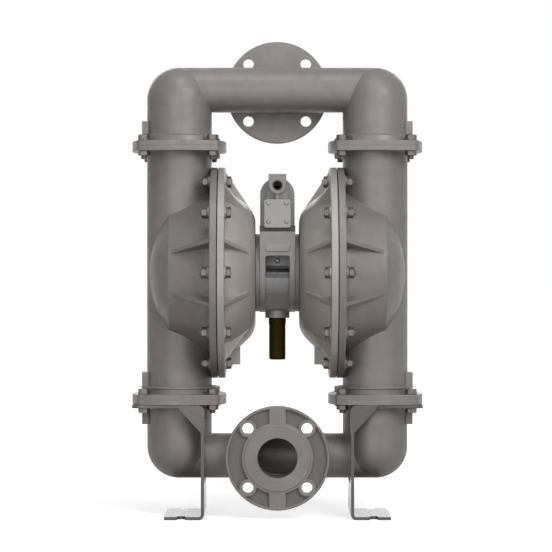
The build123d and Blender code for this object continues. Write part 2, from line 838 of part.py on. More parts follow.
# Centre block: side discs, railed front with its window, bores and air passages
with BuildPart() as centre_block:
    block_face = hub_face - hub_gasket_thickness
    rod((-block_face, 0, 0), (block_face, 0, 0), hub_disc_radius)
    rod((-block_half_width, 0, 0), (block_half_width, 0, 0), block_radius)
    brick((-block_half_width, block_half_width), (-block_radius, block_radius), (0, block_top))
    between_rails = block_half_width - rail_width
    rail_plane = Plane(origin=(-between_rails, 0, shaft_height), x_dir=(0, 1, 0), z_dir=(1, 0, 0))
    clear = -block_radius - 1
    crease_y = -sqrt(shell_radius**2 - shell_crease**2)
    halfway = degrees(asin(-shell_crease / shell_radius)) / 2
    with BuildSketch(rail_plane):
        with BuildLine():
            ThreePointArc((-shell_radius, 0), around_shaft(shell_radius, -halfway), (crease_y, shell_crease))
            Polyline(
                (crease_y, shell_crease),
                (-exhaust_boss_radius, clear),
                (clear, clear),
                (clear, 0),
                (-shell_radius, 0),
            )
        make_face()
    extrude(amount=2 * between_rails, mode=Mode.SUBTRACT)
    with BuildSketch(upright(-block_radius - 1)):
        with Locations((0, (window_top + window_bottom) / 2)):
            RectangleRounded(2 * between_rails, window_top - window_bottom, window_corner)
    extrude(amount=-(block_radius + 1 - window_wall), mode=Mode.SUBTRACT)
    slot_y = (-window_wall - 1, -window_wall + window_slot_depth)
    pilot_top = pilot_z + pilot_sleeve_radius
    brick((-between_rails + 2, between_rails - 2), slot_y, (pilot_top, window_slot_top), Mode.SUBTRACT)
    with BuildSketch(upright(-block_radius)):
        with Locations((0, (brow_low + brow_high) / 2)):
            RectangleRounded(2 * between_rails, brow_high - brow_low, brow_corner)
    extrude(amount=brow_rise)
    brow_front = -block_radius - brow_rise
    with BuildSketch(rail_plane):
        with BuildLine():
            Polyline(
                (brow_front, brow_low),
                (brow_front - 1, brow_low),
                (brow_front - 1, brow_high),
                (-block_radius, brow_high),
                close=True,
            )
        make_face()
    extrude(amount=2 * between_rails, mode=Mode.SUBTRACT)
    rod((0, 0, -exhaust_boss_end), (0, 0, 0), exhaust_boss_radius)
    rod((-block_face, 0, 0), (block_face, 0, 0), bushing_radius, Mode.SUBTRACT)
    sleeve_end = (block_face, pilot_y, pilot_z)
    rod((-block_face, pilot_y, pilot_z), sleeve_end, pilot_sleeve_radius, Mode.SUBTRACT)
    rod((0, 0, -exhaust_boss_end), (0, 0, exhaust_turn_z), exhaust_radius, Mode.SUBTRACT)
    exhaust_turn = (0, exhaust_port_y, exhaust_turn_z)
    rod(exhaust_turn, (0, exhaust_port_y, block_top), exhaust_port_radius, Mode.SUBTRACT)
    rod((0, 0, exhaust_turn_z), exhaust_turn, exhaust_port_radius, Mode.SUBTRACT)
    with Locations(shaft_centre + Vector(*exhaust_turn)):
        Sphere(exhaust_port_radius, mode=Mode.SUBTRACT)
    for way in (-1, 1):
        turn_point = (way * chamber_port_x, chamber_port_y, chamber_port_z)
        port_top = (way * chamber_port_x, chamber_port_y, block_top)
        side_mouth = (way * block_face, chamber_port_y, chamber_port_z)
        rod(turn_point, port_top, chamber_port_radius, Mode.SUBTRACT)
        rod(turn_point, side_mouth, chamber_port_radius, Mode.SUBTRACT)
        with Locations(shaft_centre + Vector(*turn_point)):
            Sphere(chamber_port_radius, mode=Mode.SUBTRACT)
        for angle in hub_screw_angles:
            y, z = around_shaft(hub_screw_circle_radius, angle)
            screw_depth = air_plate_inside - hub_screw_sink - hub_screw_length - 1
            thread_radius = hub_screw_radius + thread_gap
            rod((way * screw_depth, y, z), (way * block_face, y, z), thread_radius, Mode.SUBTRACT)
    for y in (valve_screw_front, valve_screw_back):
        for x in (-valve_screw_x, valve_screw_x):
            thread_radius = valve_screw_radius + thread_gap
            rod((x, y, valve_screw_end - 1), (x, y, block_top), thread_radius, Mode.SUBTRACT)
    screw_hole_end = (0, -window_wall + window_screw_length + 1, window_screw_z)
    thread_radius = window_screw_shank_radius + thread_gap
    rod((0, -window_wall, window_screw_z), screw_hole_end, thread_radius, Mode.SUBTRACT)
write(centre_block.part, "centre_block")

# Gaskets between the centre block and the air chambers
with BuildPart() as right_hub_gasket:
    rod((block_face, 0, 0), (hub_face, 0, 0), hub_disc_radius)
    rod((block_face, 0, 0), (hub_face, 0, 0), bushing_radius + 4, Mode.SUBTRACT)
    rod((block_face, pilot_y, pilot_z), (hub_face, pilot_y, pilot_z), pilot_hole, Mode.SUBTRACT)
    port_start = (block_face, chamber_port_y, chamber_port_z)
    port_end = (hub_face, chamber_port_y, chamber_port_z)
    rod(port_start, port_end, chamber_port_radius, Mode.SUBTRACT)
    for angle in hub_screw_angles:
        y, z = around_shaft(hub_screw_circle_radius, angle)
        rod((block_face, y, z), (hub_face, y, z), hub_screw_radius + bore_gap, Mode.SUBTRACT)

with BuildPart() as left_hub_gasket:
    mirror(right_hub_gasket.part, about=Plane.YZ)
write(right_hub_gasket.part, "right_hub_gasket")
write(left_hub_gasket.part, "left_hub_gasket")

# Cap screws that hold the air chambers to the centre block, from inside the bowls
with BuildPart() as hub_screws:
    head_seat = air_plate_inside - hub_screw_sink
    for way in (-1, 1):
        for angle in hub_screw_angles:
            y, z = around_shaft(hub_screw_circle_radius, angle)
            rod((way * (head_seat - hub_screw_length), y, z), (way * head_seat, y, z), hub_screw_radius)
            head_end = way * (head_seat + hub_screw_head_height)
            rod((way * head_seat, y, z), (head_end, y, z), hub_screw_head_radius)
write(hub_screws.part, "hub_screws")

# Right shaft bushing and its lip seal
with BuildPart() as right_shaft_bushing:
    bushing_end = bushing_inner_end + bushing_length
    rod((bushing_inner_end, 0, 0), (bushing_end, 0, 0), bushing_radius)
    rod((bushing_inner_end, 0, 0), (bushing_end, 0, 0), shaft_radius + fit_gap, Mode.SUBTRACT)

with BuildPart() as left_shaft_bushing:
    mirror(right_shaft_bushing.part, about=Plane.YZ)
write(right_shaft_bushing.part, "right_shaft_bushing")
write(left_shaft_bushing.part, "left_shaft_bushing")

with BuildPart() as right_shaft_seal:
    seal_end = bushing_end + shaft_seal_length
    rod((bushing_end, 0, 0), (seal_end, 0, 0), bushing_radius)
    rod((bushing_end, 0, 0), (seal_end, 0, 0), shaft_radius + fit_gap, Mode.SUBTRACT)

with BuildPart() as left_shaft_seal:
    mirror(right_shaft_seal.part, about=Plane.YZ)
write(right_shaft_seal.part, "right_shaft_seal")
write(left_shaft_seal.part, "left_shaft_seal")

# Pilot sleeve, pressed into the block
with BuildPart() as pilot_sleeve:
    sleeve_start = (-block_face, pilot_y, pilot_z)
    rod(sleeve_start, sleeve_end, pilot_sleeve_radius)
    rod(sleeve_start, sleeve_end, pilot_land_radius + fit_gap, Mode.SUBTRACT)
write(pilot_sleeve.part, "pilot_sleeve")

# Pilot spool, with a rod that reaches into both air chambers
with BuildPart() as pilot_spool:
    rod((-pilot_tip, pilot_y, pilot_z), (pilot_tip, pilot_y, pilot_z), pilot_rod_radius)
    for land in (-pilot_land_spacing, 0, pilot_land_spacing):
        land_start = (land - pilot_land_length / 2, pilot_y, pilot_z)
        rod(land_start, (land + pilot_land_length / 2, pilot_y, pilot_z), pilot_land_radius)
write(pilot_spool.part, "pilot_spool")

# Socket screw in the window, which locks the pilot sleeve
with BuildPart() as window_screw:
    head_front = -window_wall - window_screw_head_height
    rod((0, head_front, window_screw_z), (0, -window_wall, window_screw_z), window_screw_head_radius)
    shank_end = (0, -window_wall + window_screw_length, window_screw_z)
    rod((0, -window_wall, window_screw_z), shank_end, window_screw_shank_radius)
    with BuildSketch(upright(head_front)):
        with Locations((0, window_screw_z)):
            RegularPolygon(window_screw_socket_radius, 6)
    extrude(amount=-window_screw_head_height / 2, mode=Mode.SUBTRACT)
write(window_screw.part, "window_screw")


def valve_outline(low, high):
    """Upright prism under the air valve, with its passages and screw holes."""
    x_span = (-valve_base_half_width, valve_base_half_width)
    brick(x_span, (-valve_base_front, valve_back), (low, high))
    exhaust_foot = (0, exhaust_port_y, low)
    rod(exhaust_foot, (0, exhaust_port_y, high), exhaust_port_radius, Mode.SUBTRACT)
    for way in (-1, 1):
        port_foot = (way * chamber_port_x, chamber_port_y, low)
        port_head = (way * chamber_port_x, chamber_port_y, high)
        rod(port_foot, port_head, chamber_port_radius, Mode.SUBTRACT)
        for y in (valve_screw_front, valve_screw_back):
            x = way * valve_screw_x
            rod((x, y, low), (x, y, high), valve_screw_radius + bore_gap, Mode.SUBTRACT)


# Air valve gasket and base plate
with BuildPart() as air_valve_gasket:
    valve_outline(block_top, valve_base_bottom)
write(air_valve_gasket.part, "air_valve_gasket")

with BuildPart() as air_valve_base:
    valve_outline(valve_base_bottom, valve_bottom)
write(air_valve_base.part, "air_valve_base")

# Air valve body: arched back, cover pad, neck, crown with the air inlet, and its bores
with BuildPart() as air_valve_body:
    arc_centre = valve_bottom + valve_arc_height
    with BuildSketch(upright(-valve_shoulder_front)):
        with Locations((0, (valve_bottom + arc_centre) / 2)):
            Rectangle(2 * valve_half_width, valve_arc_height)
        with Locations((0, arc_centre)):
            Circle(valve_half_width)
    extrude(amount=-(valve_shoulder_front + valve_back))
    pad_y = (-cover_pad_front, -valve_shoulder_front + 1)
    pad_z = (valve_bottom, valve_bottom + cover_pad_height)
    brick((-cover_pad_half_width, cover_pad_half_width), pad_y, pad_z)
    neck_y = (-neck_front, -valve_shoulder_front + 1)
    brick((-neck_half_width, neck_half_width), neck_y, (valve_bottom, inlet_height + 4))
    crown_y = (-crown_front, -valve_shoulder_front + 1)
    brick((-crown_half_width, crown_half_width), crown_y, (inlet_height, crown_top))
    rod((0, -inlet_front, inlet_height), (0, -valve_shoulder_front, inlet_height), inlet_boss_radius)
    web_y = (-inlet_front + 2, -valve_shoulder_front)
    brick((-web_half_width, web_half_width), web_y, (cover_top + contact_gap, inlet_height))
    thread_floor = -inlet_front + inlet_thread_length
    inlet_mouth = (0, -inlet_front, inlet_height)
    rod(inlet_mouth, (0, thread_floor, inlet_height), inlet_thread_radius, Mode.SUBTRACT)
    inlet_turn = (0, valve_spool_y - valve_spool_radius - 6, inlet_height)
    rod((0, thread_floor, inlet_height), inlet_turn, inlet_bore_radius, Mode.SUBTRACT)
    gallery = (0, valve_spool_y, valve_bore_top - inlet_bore_radius - 1)
    rod(inlet_turn, gallery, inlet_bore_radius, Mode.SUBTRACT)
    spool_bore = valve_spool_radius + fit_gap
    rod((0, valve_spool_y, valve_bottom), (0, valve_spool_y, valve_bore_top), spool_bore, Mode.SUBTRACT)
    exhaust_top = (0, exhaust_port_y, valve_exhaust_z)
    rod((0, exhaust_port_y, valve_bottom), exhaust_top, exhaust_port_radius, Mode.SUBTRACT)
    rod(exhaust_top, (0, valve_spool_y, valve_exhaust_z), exhaust_port_radius - 2, Mode.SUBTRACT)
    for way in (-1, 1):
        port_low = (way * chamber_port_x, chamber_port_y, valve_bottom)
        port_high = (way * chamber_port_x, chamber_port_y, valve_port_z + chamber_port_radius)
        rod(port_low, port_high, chamber_port_radius, Mode.SUBTRACT)
        port_side = (way * chamber_port_x, chamber_port_y, valve_port_z)
        rod(port_side, (0, chamber_port_y, valve_port_z), chamber_port_radius - 2, Mode.SUBTRACT)
        for y in (valve_screw_front, valve_screw_back):
            x = way * valve_screw_x
            rod((x, y, valve_bottom), (x, y, valve_screw_seat), valve_screw_radius + bore_gap, Mode.SUBTRACT)
            pocket = valve_screw_head_radius + 0.8
            rod((x, y, valve_screw_seat), (x, y, crown_top), pocket, Mode.SUBTRACT)
    for x in (-cover_screw_x, cover_screw_x):
        for z in cover_screw_heights:
            hole_end = (x, -cover_pad_front + cover_screw_length + 1 - cover_thickness, z)
            rod((x, -cover_pad_front, z), hole_end, cover_screw_radius + thread_gap, Mode.SUBTRACT)
write(air_valve_body.part, "air_valve_body")

# Air valve spool, which rests on the base plate and travels upwards
with BuildPart() as air_valve_spool:
    spool_top = valve_spool_bottom + valve_spool_length
    foot = (0, valve_spool_y, valve_spool_bottom)
    rod(foot, (0, valve_spool_y, spool_top), valve_spool_waist_radius)
    land_step = (valve_spool_length - valve_spool_land_length) / 2
    for land in range(3):
        land_low = valve_spool_bottom + land * land_step
        land_high = land_low + valve_spool_land_length
        rod((0, valve_spool_y, land_low), (0, valve_spool_y, land_high), valve_spool_radius)
write(air_valve_spool.part, "air_valve_spool")

# Screws that hold the air valve down on the block, deep in the body's pockets
with BuildPart() as air_valve_screws:
    for y in (valve_screw_front, valve_screw_back):
        for x in (-valve_screw_x, valve_screw_x):
            rod((x, y, valve_screw_end), (x, y, valve_screw_seat), valve_screw_radius)
            head_top = valve_screw_seat + valve_screw_head_height
            rod((x, y, valve_screw_seat), (x, y, head_top), valve_screw_head_radius)
write(air_valve_screws.part, "air_valve_screws")

# Air valve cover, a plate with round corners
with BuildPart() as air_valve_cover:
    with BuildSketch(upright(-cover_pad_front)):
        with Locations((0, (cover_bottom + cover_top) / 2)):
            RectangleRounded(cover_width, cover_top - cover_bottom, cover_corner)
    extrude(amount=cover_thickness)
    chamfer(air_valve_cover.faces().sort_by(Axis.Y)[0].edges(), 1.0)
    for x in (-cover_screw_x, cover_screw_x):
        for z in cover_screw_heights:
            cover_front = -cover_pad_front - cover_thickness
            hole = cover_screw_radius + bore_gap
            rod((x, -cover_pad_front, z), (x, cover_front, z), hole, Mode.SUBTRACT)
write(air_valve_cover.part, "air_valve_cover")

# Socket screws of the cover
with BuildPart() as cover_screws:
    for x in (-cover_screw_x, cover_screw_x):
        for z in cover_screw_heights:
            head_face = cover_front - cover_screw_head_height
            rod((x, head_face, z), (x, cover_front, z), cover_screw_head_radius)
            rod((x, cover_front, z), (x, cover_front + cover_screw_length, z), cover_screw_radius)
            with BuildSketch(upright(head_face)):
                with Locations((x, z)):
                    RegularPolygon(cover_screw_socket_radius, 6)
            extrude(amount=-cover_screw_head_height + 0.6, mode=Mode.SUBTRACT)
write(cover_screws.part, "cover_screws")

# Muffler, screwed up into the exhaust boss
with BuildPart() as muffler:
    collar_foot = -exhaust_boss_end - muffler_collar_height
    rod((0, 0, -muffler_end), (0, 0, -exhaust_boss_end), muffler_radius)
    chamfer(muffler.edges().group_by(Axis.Z)[0], 1.5)
    rod((0, 0, collar_foot), (0, 0, -exhaust_boss_end), muffler_radius + muffler_collar_rise)
    nipple_top = -exhaust_boss_end + muffler_nipple_length
    rod((0, 0, -exhaust_boss_end), (0, 0, nipple_top), muffler_nipple_radius)
    rod((0, 0, -muffler_end + 6), (0, 0, nipple_top), muffler_bore_radius, Mode.SUBTRACT)
    vent_z = -exhaust_boss_end - muffler_vent_drop
    rod((0, -muffler_radius - 1, vent_z), (0, 0, vent_z), muffler_vent_radius, Mode.SUBTRACT)
write(muffler.part, "muffler")


def valve_ball(tube, seat_face):
    """Ball at rest just above its seat."""
    with Locations((tube, 0, shaft_height + seat_face + ball_rise)):
        Sphere(ball_radius)


def valve_seat(tube, seat_face):
    """Ring flush with the joint face, with a ball-shaped seat and a rebate for its seal."""
    low = seat_face - seat_height
    rebate = seat_radius - 2 * seal_section_radius - 2 * seal_gap
    rod((tube, 0, low), (tube, 0, seat_face), seat_radius)
    rod((tube, 0, low), (tube, 0, seat_face), seat_bore_radius, Mode.SUBTRACT)
    with Locations((tube, 0, shaft_height + seat_face + ball_rise)):
        Sphere(ball_radius + contact_gap, mode=Mode.SUBTRACT)
    floor = seat_face - 2 * seal_section_radius - 2 * seal_gap
    ring = ((rebate, floor), (seat_radius + 1, floor), (seat_radius + 1, seat_face), (rebate, seat_face))
    upright_turned(tube, ring, Mode.SUBTRACT)


def seat_seal(tube, seat_face):
    """Rubber ring in the rebate of a valve seat."""
    centre_radius = seat_radius - seal_section_radius - seal_gap / 2
    height = seat_face - seal_section_radius - seal_gap
    with BuildSketch(Plane(origin=(tube, 0, shaft_height), x_dir=(1, 0, 0), z_dir=(0, -1, 0))) as section:
        with Locations((centre_radius, height)):
            Circle(seal_section_radius)
    revolve(section.sketch, axis=Axis((tube, 0, 0), (0, 0, 1)))


# Ball, seat and seal of each of the four check valves
for valve_side, valve_tube in (("left", -tube_offset), ("right", tube_offset)):
    for valve_port, valve_face in (("inlet", -joint_offset), ("discharge", joint_offset)):
        with BuildPart() as ball:
            valve_ball(valve_tube, valve_face)
        write(ball.part, f"{valve_side}_{valve_port}_ball")
        with BuildPart() as seat:
            valve_seat(valve_tube, valve_face)
        write(seat.part, f"{valve_side}_{valve_port}_seat")
        with BuildPart() as seal:
            seat_seal(valve_tube, valve_face)
        write(seal.part, f"{valve_side}_{valve_port}_seat_seal")

# Right stand: foot, upright plate and shelf bent from one plate, with two welded gussets
with BuildPart() as right_stand:
    shelf_face = -joint_underside
    leg_outer = stand_inner_face + plate_thickness
    inner_bend = stand_outer_bend - plate_thickness
    with BuildSketch(upright(-stand_half_depth)) as stand_profile:
        with BuildLine():
            Polyline(
                (foot_end, -shaft_height),
                (stand_inner_face, -shaft_height),
                (stand_inner_face, shelf_face),
                (shelf_end, shelf_face),
                (shelf_end, shelf_face - plate_thickness),
                (leg_outer, shelf_face - plate_thickness),
                (leg_outer, stand_foot_top),
                (foot_end, stand_foot_top),
                close=True,
            )
        make_face()
        bends = stand_profile.vertices().group_by(Axis.X)
        fillet(bends[0], stand_outer_bend)
        inside_bends = stand_profile.vertices()
        fillet(inside_bends.filter_by_position(Axis.X, leg_outer - 0.01, leg_outer + 0.01), inner_bend)
    extrude(amount=-2 * stand_half_depth)
    for way in (-1, 1):
        gusset_faces = (way * stand_half_depth, way * (stand_half_depth - plate_thickness))
        with BuildSketch(upright(min(gusset_faces))):
            with BuildLine():
                Polyline(
                    (leg_outer - 1, shelf_face - 1),
                    (gusset_end, shelf_face - 1),
                    (gusset_end, shelf_face - plate_thickness),
                    (leg_outer, shelf_face - plate_thickness - gusset_drop),
                    (leg_outer - 1, shelf_face - plate_thickness - gusset_drop),
                    close=True,
                )
            make_face()
        extrude(amount=-plate_thickness)
        trim_y = (way * shelf_half_depth, way * (stand_half_depth + 1))
        trim_z = (shelf_face - plate_thickness, shelf_face)
        brick((gusset_end, shelf_end + 1), trim_y, trim_z, Mode.SUBTRACT)
    shelf_tips = right_stand.edges().filter_by(Axis.Z)
    shelf_tips = shelf_tips.filter_by_position(Axis.X, shelf_end - 0.01, shelf_end + 0.01)
    fillet(shelf_tips, shelf_corner)
    notch_floor = -pipe_offset - pipe_radius - stand_notch_gap
    notch_x = (stand_inner_face - 1, tube_offset)
    brick(notch_x, (-stand_notch_half, stand_notch_half), (notch_floor, shelf_face), Mode.SUBTRACT)
    tube_hole_foot = (tube_offset, 0, shelf_face - plate_thickness)
    rod(tube_hole_foot, (tube_offset, 0, shelf_face), tube_radius + stand_tube_gap, Mode.SUBTRACT)
    pad_clear = pad_width / 2 + stand_tube_gap
    pad_x = (tube_offset, tube_offset + tube_radius + pad_rise + stand_tube_gap)
    brick(pad_x, (-pad_clear, pad_clear), (shelf_face - plate_thickness, shelf_face), Mode.SUBTRACT)
    for way in (-1, 1):
        bolt_x = tube_offset + joint_bolt_offset
        bolt_y = way * joint_bolt_offset
        hole_foot = (bolt_x, bolt_y, shelf_face - plate_thickness)
        rod(hole_foot, (bolt_x, bolt_y, shelf_face), joint_hole_radius, Mode.SUBTRACT)
        slot_centre = stand_half_depth - foot_slot_depth + foot_slot_width / 2
        rod(
            (foot_slot_offset, way * slot_centre, -shaft_height),
            (foot_slot_offset, way * slot_centre, stand_foot_top),
            foot_slot_width / 2,
            Mode.SUBTRACT,
        )
        slot_x = (foot_slot_offset - foot_slot_width / 2, foot_slot_offset + foot_slot_width / 2)
        slot_y = (way * slot_centre, way * (stand_half_depth + 1))
        brick(slot_x, slot_y, (-shaft_height, stand_foot_top), Mode.SUBTRACT)

with BuildPart() as left_stand:
    mirror(right_stand.part, about=Plane.YZ)
write(right_stand.part, "right_stand")
write(left_stand.part, "left_stand")

# Bolts, nuts and washers of the diaphragm discs, heads on the air side
head_plane_x = disc_back - spot_height
nut_plane_x = disc_front + spot_height
disc_grip = nut_plane_x - head_plane_x + 2 * disc_washer_thickness
disc_bolt_length = disc_grip + disc_nut_height + disc_bolt_tail


def beside(x, y, z, way):
    """Plane at a point measured from the shaft's middle, facing along the shaft."""
    return Plane(origin=Vector(x, y, z) + shaft_centre, x_dir=(0, 0, 1), z_dir=(way, 0, 0))


for chamber_side, way in (("left", -1), ("right", 1)):
    with BuildPart() as chamber_bolts:
        for y, z in disc_bolt_places():
            seat_x = way * (head_plane_x - disc_washer_thickness)
            seat_plane = beside(seat_x, y, z, -way)
            hex_bolt(seat_plane, disc_bolt_radius, disc_bolt_length, disc_head_across, disc_head_height)
    write(chamber_bolts.part, f"{chamber_side}_chamber_bolts")
    with BuildPart() as chamber_nuts:
        for y, z in disc_bolt_places():
            seat_plane = beside(way * (nut_plane_x + disc_washer_thickness), y, z, way)
            hex_nut(seat_plane, disc_bolt_radius, disc_head_across, disc_nut_height)
    write(chamber_nuts.part, f"{chamber_side}_chamber_nuts")
    with BuildPart() as chamber_washers:
        for y, z in disc_bolt_places():
            head_washer = beside(way * head_plane_x, y, z, -way)
            washer(head_washer, disc_bolt_radius, disc_washer_radius, disc_washer_thickness)
            nut_washer = beside(way * nut_plane_x, y, z, way)
            washer(nut_washer, disc_bolt_radius, disc_washer_radius, disc_washer_thickness)
    write(chamber_washers.part, f"{chamber_side}_chamber_washers")


def joint_seat(x, y, height, way):
    """Plane on a bolt axis of the square joints, facing up or down."""
    return Plane(origin=(x, y, shaft_height + height), x_dir=(1, 0, 0), z_dir=(0, 0, way))


def nut_seat_height(x, lower):
    """Underside that a joint's nut bears on, with the stand's shelf under the lower outer bolts."""
    if not lower:
        return joint_offset - joint_flange_thickness
    if abs(x) > tube_offset:
        return -shelf_underside
    return -joint_underside


# Bolts, nuts and washers of the upper and lower square joints, heads on top
all_joint_places = joint_bolt_places(-tube_offset) + joint_bolt_places(tube_offset)
joint_grip = 2 * joint_flange_thickness + plate_thickness + joint_washer_thickness
joint_bolt_length = joint_grip + joint_nut_height + joint_bolt_tail
joint_tops = (("upper", joint_underside), ("lower", -joint_offset + joint_flange_thickness))
for joint_name, top in joint_tops:
    with BuildPart() as joint_bolts:
        for x, y in all_joint_places:
            bolt_plane = joint_seat(x, y, top + joint_washer_thickness, 1)
            hex_bolt(bolt_plane, joint_bolt_radius, joint_bolt_length, joint_head_across, joint_head_height)
    write(joint_bolts.part, f"{joint_name}_joint_bolts")
    with BuildPart() as joint_nuts:
        for x, y in all_joint_places:
            nut_plane = joint_seat(x, y, nut_seat_height(x, joint_name == "lower"), -1)
            hex_nut(nut_plane, joint_bolt_radius, joint_head_across, joint_nut_height)
    write(joint_nuts.part, f"{joint_name}_joint_nuts")

with BuildPart() as joint_washers:
    for joint_name, top in joint_tops:
        for x, y in all_joint_places:
            washer(joint_seat(x, y, top, 1), joint_bolt_radius, joint_washer_radius, joint_washer_thickness)
write(joint_washers.part, "joint_washers")
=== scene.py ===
"""Finish of a diaphragm pump: its surfaces, turned and threaded hardware, diaphragms cut into wedges, and
studio.

Lengths are in metres, +Z up, -Y to the front, with the origin on the floor under the pump.
"""

import bmesh
import bpy
import numpy as np
from bpy.props import FloatProperty, FloatVectorProperty, IntProperty, PointerProperty
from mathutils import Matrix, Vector


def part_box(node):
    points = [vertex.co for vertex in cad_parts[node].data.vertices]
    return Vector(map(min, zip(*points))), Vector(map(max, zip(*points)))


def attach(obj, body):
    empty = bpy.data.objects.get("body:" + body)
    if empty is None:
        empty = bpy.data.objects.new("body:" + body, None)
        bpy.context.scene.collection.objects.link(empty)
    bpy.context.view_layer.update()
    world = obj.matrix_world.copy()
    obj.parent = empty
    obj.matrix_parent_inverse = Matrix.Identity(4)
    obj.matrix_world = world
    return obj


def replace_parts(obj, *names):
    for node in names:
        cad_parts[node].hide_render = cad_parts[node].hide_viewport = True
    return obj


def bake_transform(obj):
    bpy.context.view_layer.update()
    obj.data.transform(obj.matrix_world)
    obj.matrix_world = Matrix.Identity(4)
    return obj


bl_info = {
    "name": "Diaphragm Pump Finish",
    "version": (1, 0, 0),
    "blender": (4, 5, 0),
    "location": "View3D > Sidebar > Pump",
    "description": "Dresses the pump's castings, stands, hardware and muffler, and sets up its studio",
    "category": "Object",
}

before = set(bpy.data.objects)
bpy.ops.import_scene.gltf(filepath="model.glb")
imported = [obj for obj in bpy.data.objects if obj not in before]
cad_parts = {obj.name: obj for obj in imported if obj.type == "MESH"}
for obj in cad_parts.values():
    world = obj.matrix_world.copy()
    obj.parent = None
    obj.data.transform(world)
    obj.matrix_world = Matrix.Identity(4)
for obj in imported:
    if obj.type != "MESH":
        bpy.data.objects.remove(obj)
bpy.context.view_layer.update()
SHAFT_Z = 0.450
TUBE_X = 0.181
JOINT_BOLT_OFFSET = 0.0625
DISC_BOLT_CIRCLE = 0.180
DISC_BOLT_ANGLES = (-66.6, -36.7, 0.0, 36.7, 66.6)
SIDES = {"left": -1.0, "right": 1.0}

# Port faces: which way they look along y and their centres, then the pockets' depths and radii, and the
# colour and strength of the painted shade in the pockets
FRONT_PORT = (-1.0, (0, 0, 0.112))
BACK_PORT = (1.0, (0, 0, 0.788))
PORT_FACE = 0.0808
POCKET_TOP = (0.0795, 0.0785)
POCKET_BOTTOM = (0.0715, 0.0725)
POCKET_RADII = (0.060, 0.0909)
# painted shade: near-black tone and share of it mixed into the port pockets, standing in for the shade that
# falls in them
POCKET_PAINTED_SHADE_TONE = (0.045, 0.038, 0.036, 1.0)
POCKET_PAINTED_SHADE_SHARE = 0.42

# Diaphragms: radius at which the discs clamp them, wedges round the shaft, and rows of points over the bend
CLAMP_RADIUS = 0.143
WEDGES = 16
BEND_ROWS = 10

# Washers and screws: outer radius, thickness, then head radius, head height and socket width
DISC_WASHER = 0.011
JOINT_WASHER = 0.0115
WASHER_THICKNESS = 0.002
COVER_SCREW = (0.0039, 0.0026, 0.0034)
WINDOW_SCREW = (0.0049, 0.0050, 0.0044)
SCREW_SHANK = 0.0025
SCREW_PITCH = 0.0008

# Air inlet: middle of its face, then radius, depth and pitch of its thread
INLET = (0.0, -0.066, SHAFT_Z + 0.1592)
INLET_THREAD = (0.00998, 0.0158, 0.00181)

# Muffler: radii of the body, the neck and the vent, neck length, and how far the vent lies below the collar
MUFFLER_RADIUS = 0.0152
MUFFLER_NECK = 0.0103
NECK_LENGTH = 0.016
VENT_RADIUS = 0.0016
VENT_DEPTH = 0.0035
VENT_DROP = 0.017

LAMP_SIZE = 1.6
LAMP_DISTANCE = 3.6


def metres(name, text, default):
    """Length property in metres with its description."""
    kind = {"subtype": "DISTANCE", "unit": "LENGTH", "precision": 5}
    return FloatProperty(name=name, description=text, default=default, **kind)


def colour(name, text, default):
    """Colour property with its description."""
    kind = {"size": 3, "min": 0, "max": 1, "subtype": "COLOR"}
    return FloatVectorProperty(name=name, description=text, default=default, **kind)


def watts(name, text, default):
    """Power of a lamp with its description."""
    return FloatProperty(name=name, description=text, default=default, unit="POWER")


def share(name, text, default):
    """Factor property between 0 and 1 with its description."""
    return FloatProperty(name=name, description=text, default=default, min=0, max=1, subtype="FACTOR")


class PumpFinish(bpy.types.PropertyGroup):
    """Colours and surface values of the pump's materials"""

    cast_colour: colour("Casting", "Satin grey of the castings", (0.262, 0.243, 0.234))
    cast_dark: colour("Casting shade", "Grey of the castings' duller patches", (0.222, 0.204, 0.196))
    # painted light: the air chambers get a lighter grey than the other castings, standing in for the stronger
    # light that falls on them
    air_painted_light_colour: colour("Air chambers", "Lighter grey of the two air chambers", (0.430, 0.404, 0.382))
    valve_colour: colour("Air valve", "Neutral grey of air valve and centre block", (0.262, 0.258, 0.254))
    cover_colour: colour("Valve cover", "Lighter grey of the milled cover", (0.335, 0.325, 0.318))
    cast_metallic: share("Casting metallic", "How metallic the castings look", 0.18)
    cast_roughness: share("Casting roughness", "Roughness of the castings", 0.48)
    stand_colour: colour("Stands", "Grey of the bent stands", (0.105, 0.099, 0.096))
    zinc_colour: colour("Hardware", "Grey of plated bolts, nuts and washers", (0.150, 0.134, 0.120))
    screw_colour: colour("Screws", "Light grey of the button head screws", (0.300, 0.295, 0.290))
    muffler_colour: colour("Muffler", "Olive black of the muffler", (0.027, 0.020, 0.0010))
    edge_radius: metres("Edge radius", "Radius of the soft edges on castings", 0.0016)


class PumpHardware(bpy.types.PropertyGroup):
    """Sizes of the bolts, nuts and washers"""

    joint_across: metres("Joint hex", "Across flats of the square joints' hardware", 0.019)
    joint_head: metres("Joint head", "Height of a joint bolt's head", 0.0087)
    joint_nut: metres("Joint nut", "Height of a joint nut", 0.009)
    joint_thread: metres("Joint thread", "Radius of a joint bolt", 0.00635)
    disc_across: metres("Disc hex", "Across flats of the discs' hardware", 0.018)
    disc_head: metres("Disc head", "Height of a disc bolt's head", 0.0075)
    disc_nut: metres("Disc nut", "Height of a disc nut", 0.0095)
    disc_thread: metres("Disc thread", "Radius of a disc bolt", 0.006)
    pitch: metres("Pitch", "Thread pitch", 0.00175)
    around: IntProperty(name="Points around", description="Points round a hex head", default=72, min=24)


class PumpStage(bpy.types.PropertyGroup):
    """Camera and light of the studio"""

    distance: metres("Camera distance", "From the lens to the pump's middle plane", 4.600)
    lens: FloatProperty(name="Lens", description="Focal length for a 36 mm frame", default=162, unit="CAMERA")
    camera_x: metres("Camera x", "Place of the lens to the side", -0.020)
    camera_z: metres("Camera z", "Height of the lens", 0.4439)
    shift: FloatProperty(name="Shift", description="Sideways shift of the lens", default=0.0172)
    key: watts("Key", "Power of the lamp at the front right", 60.0)
    top: watts("Top", "Power of the lamp high above the front", 34.0)
    front: watts("Front", "Power of the low lamp at the front left", 24.0)
    back: watts("Back", "Power of each of the two lamps behind", 28.0)


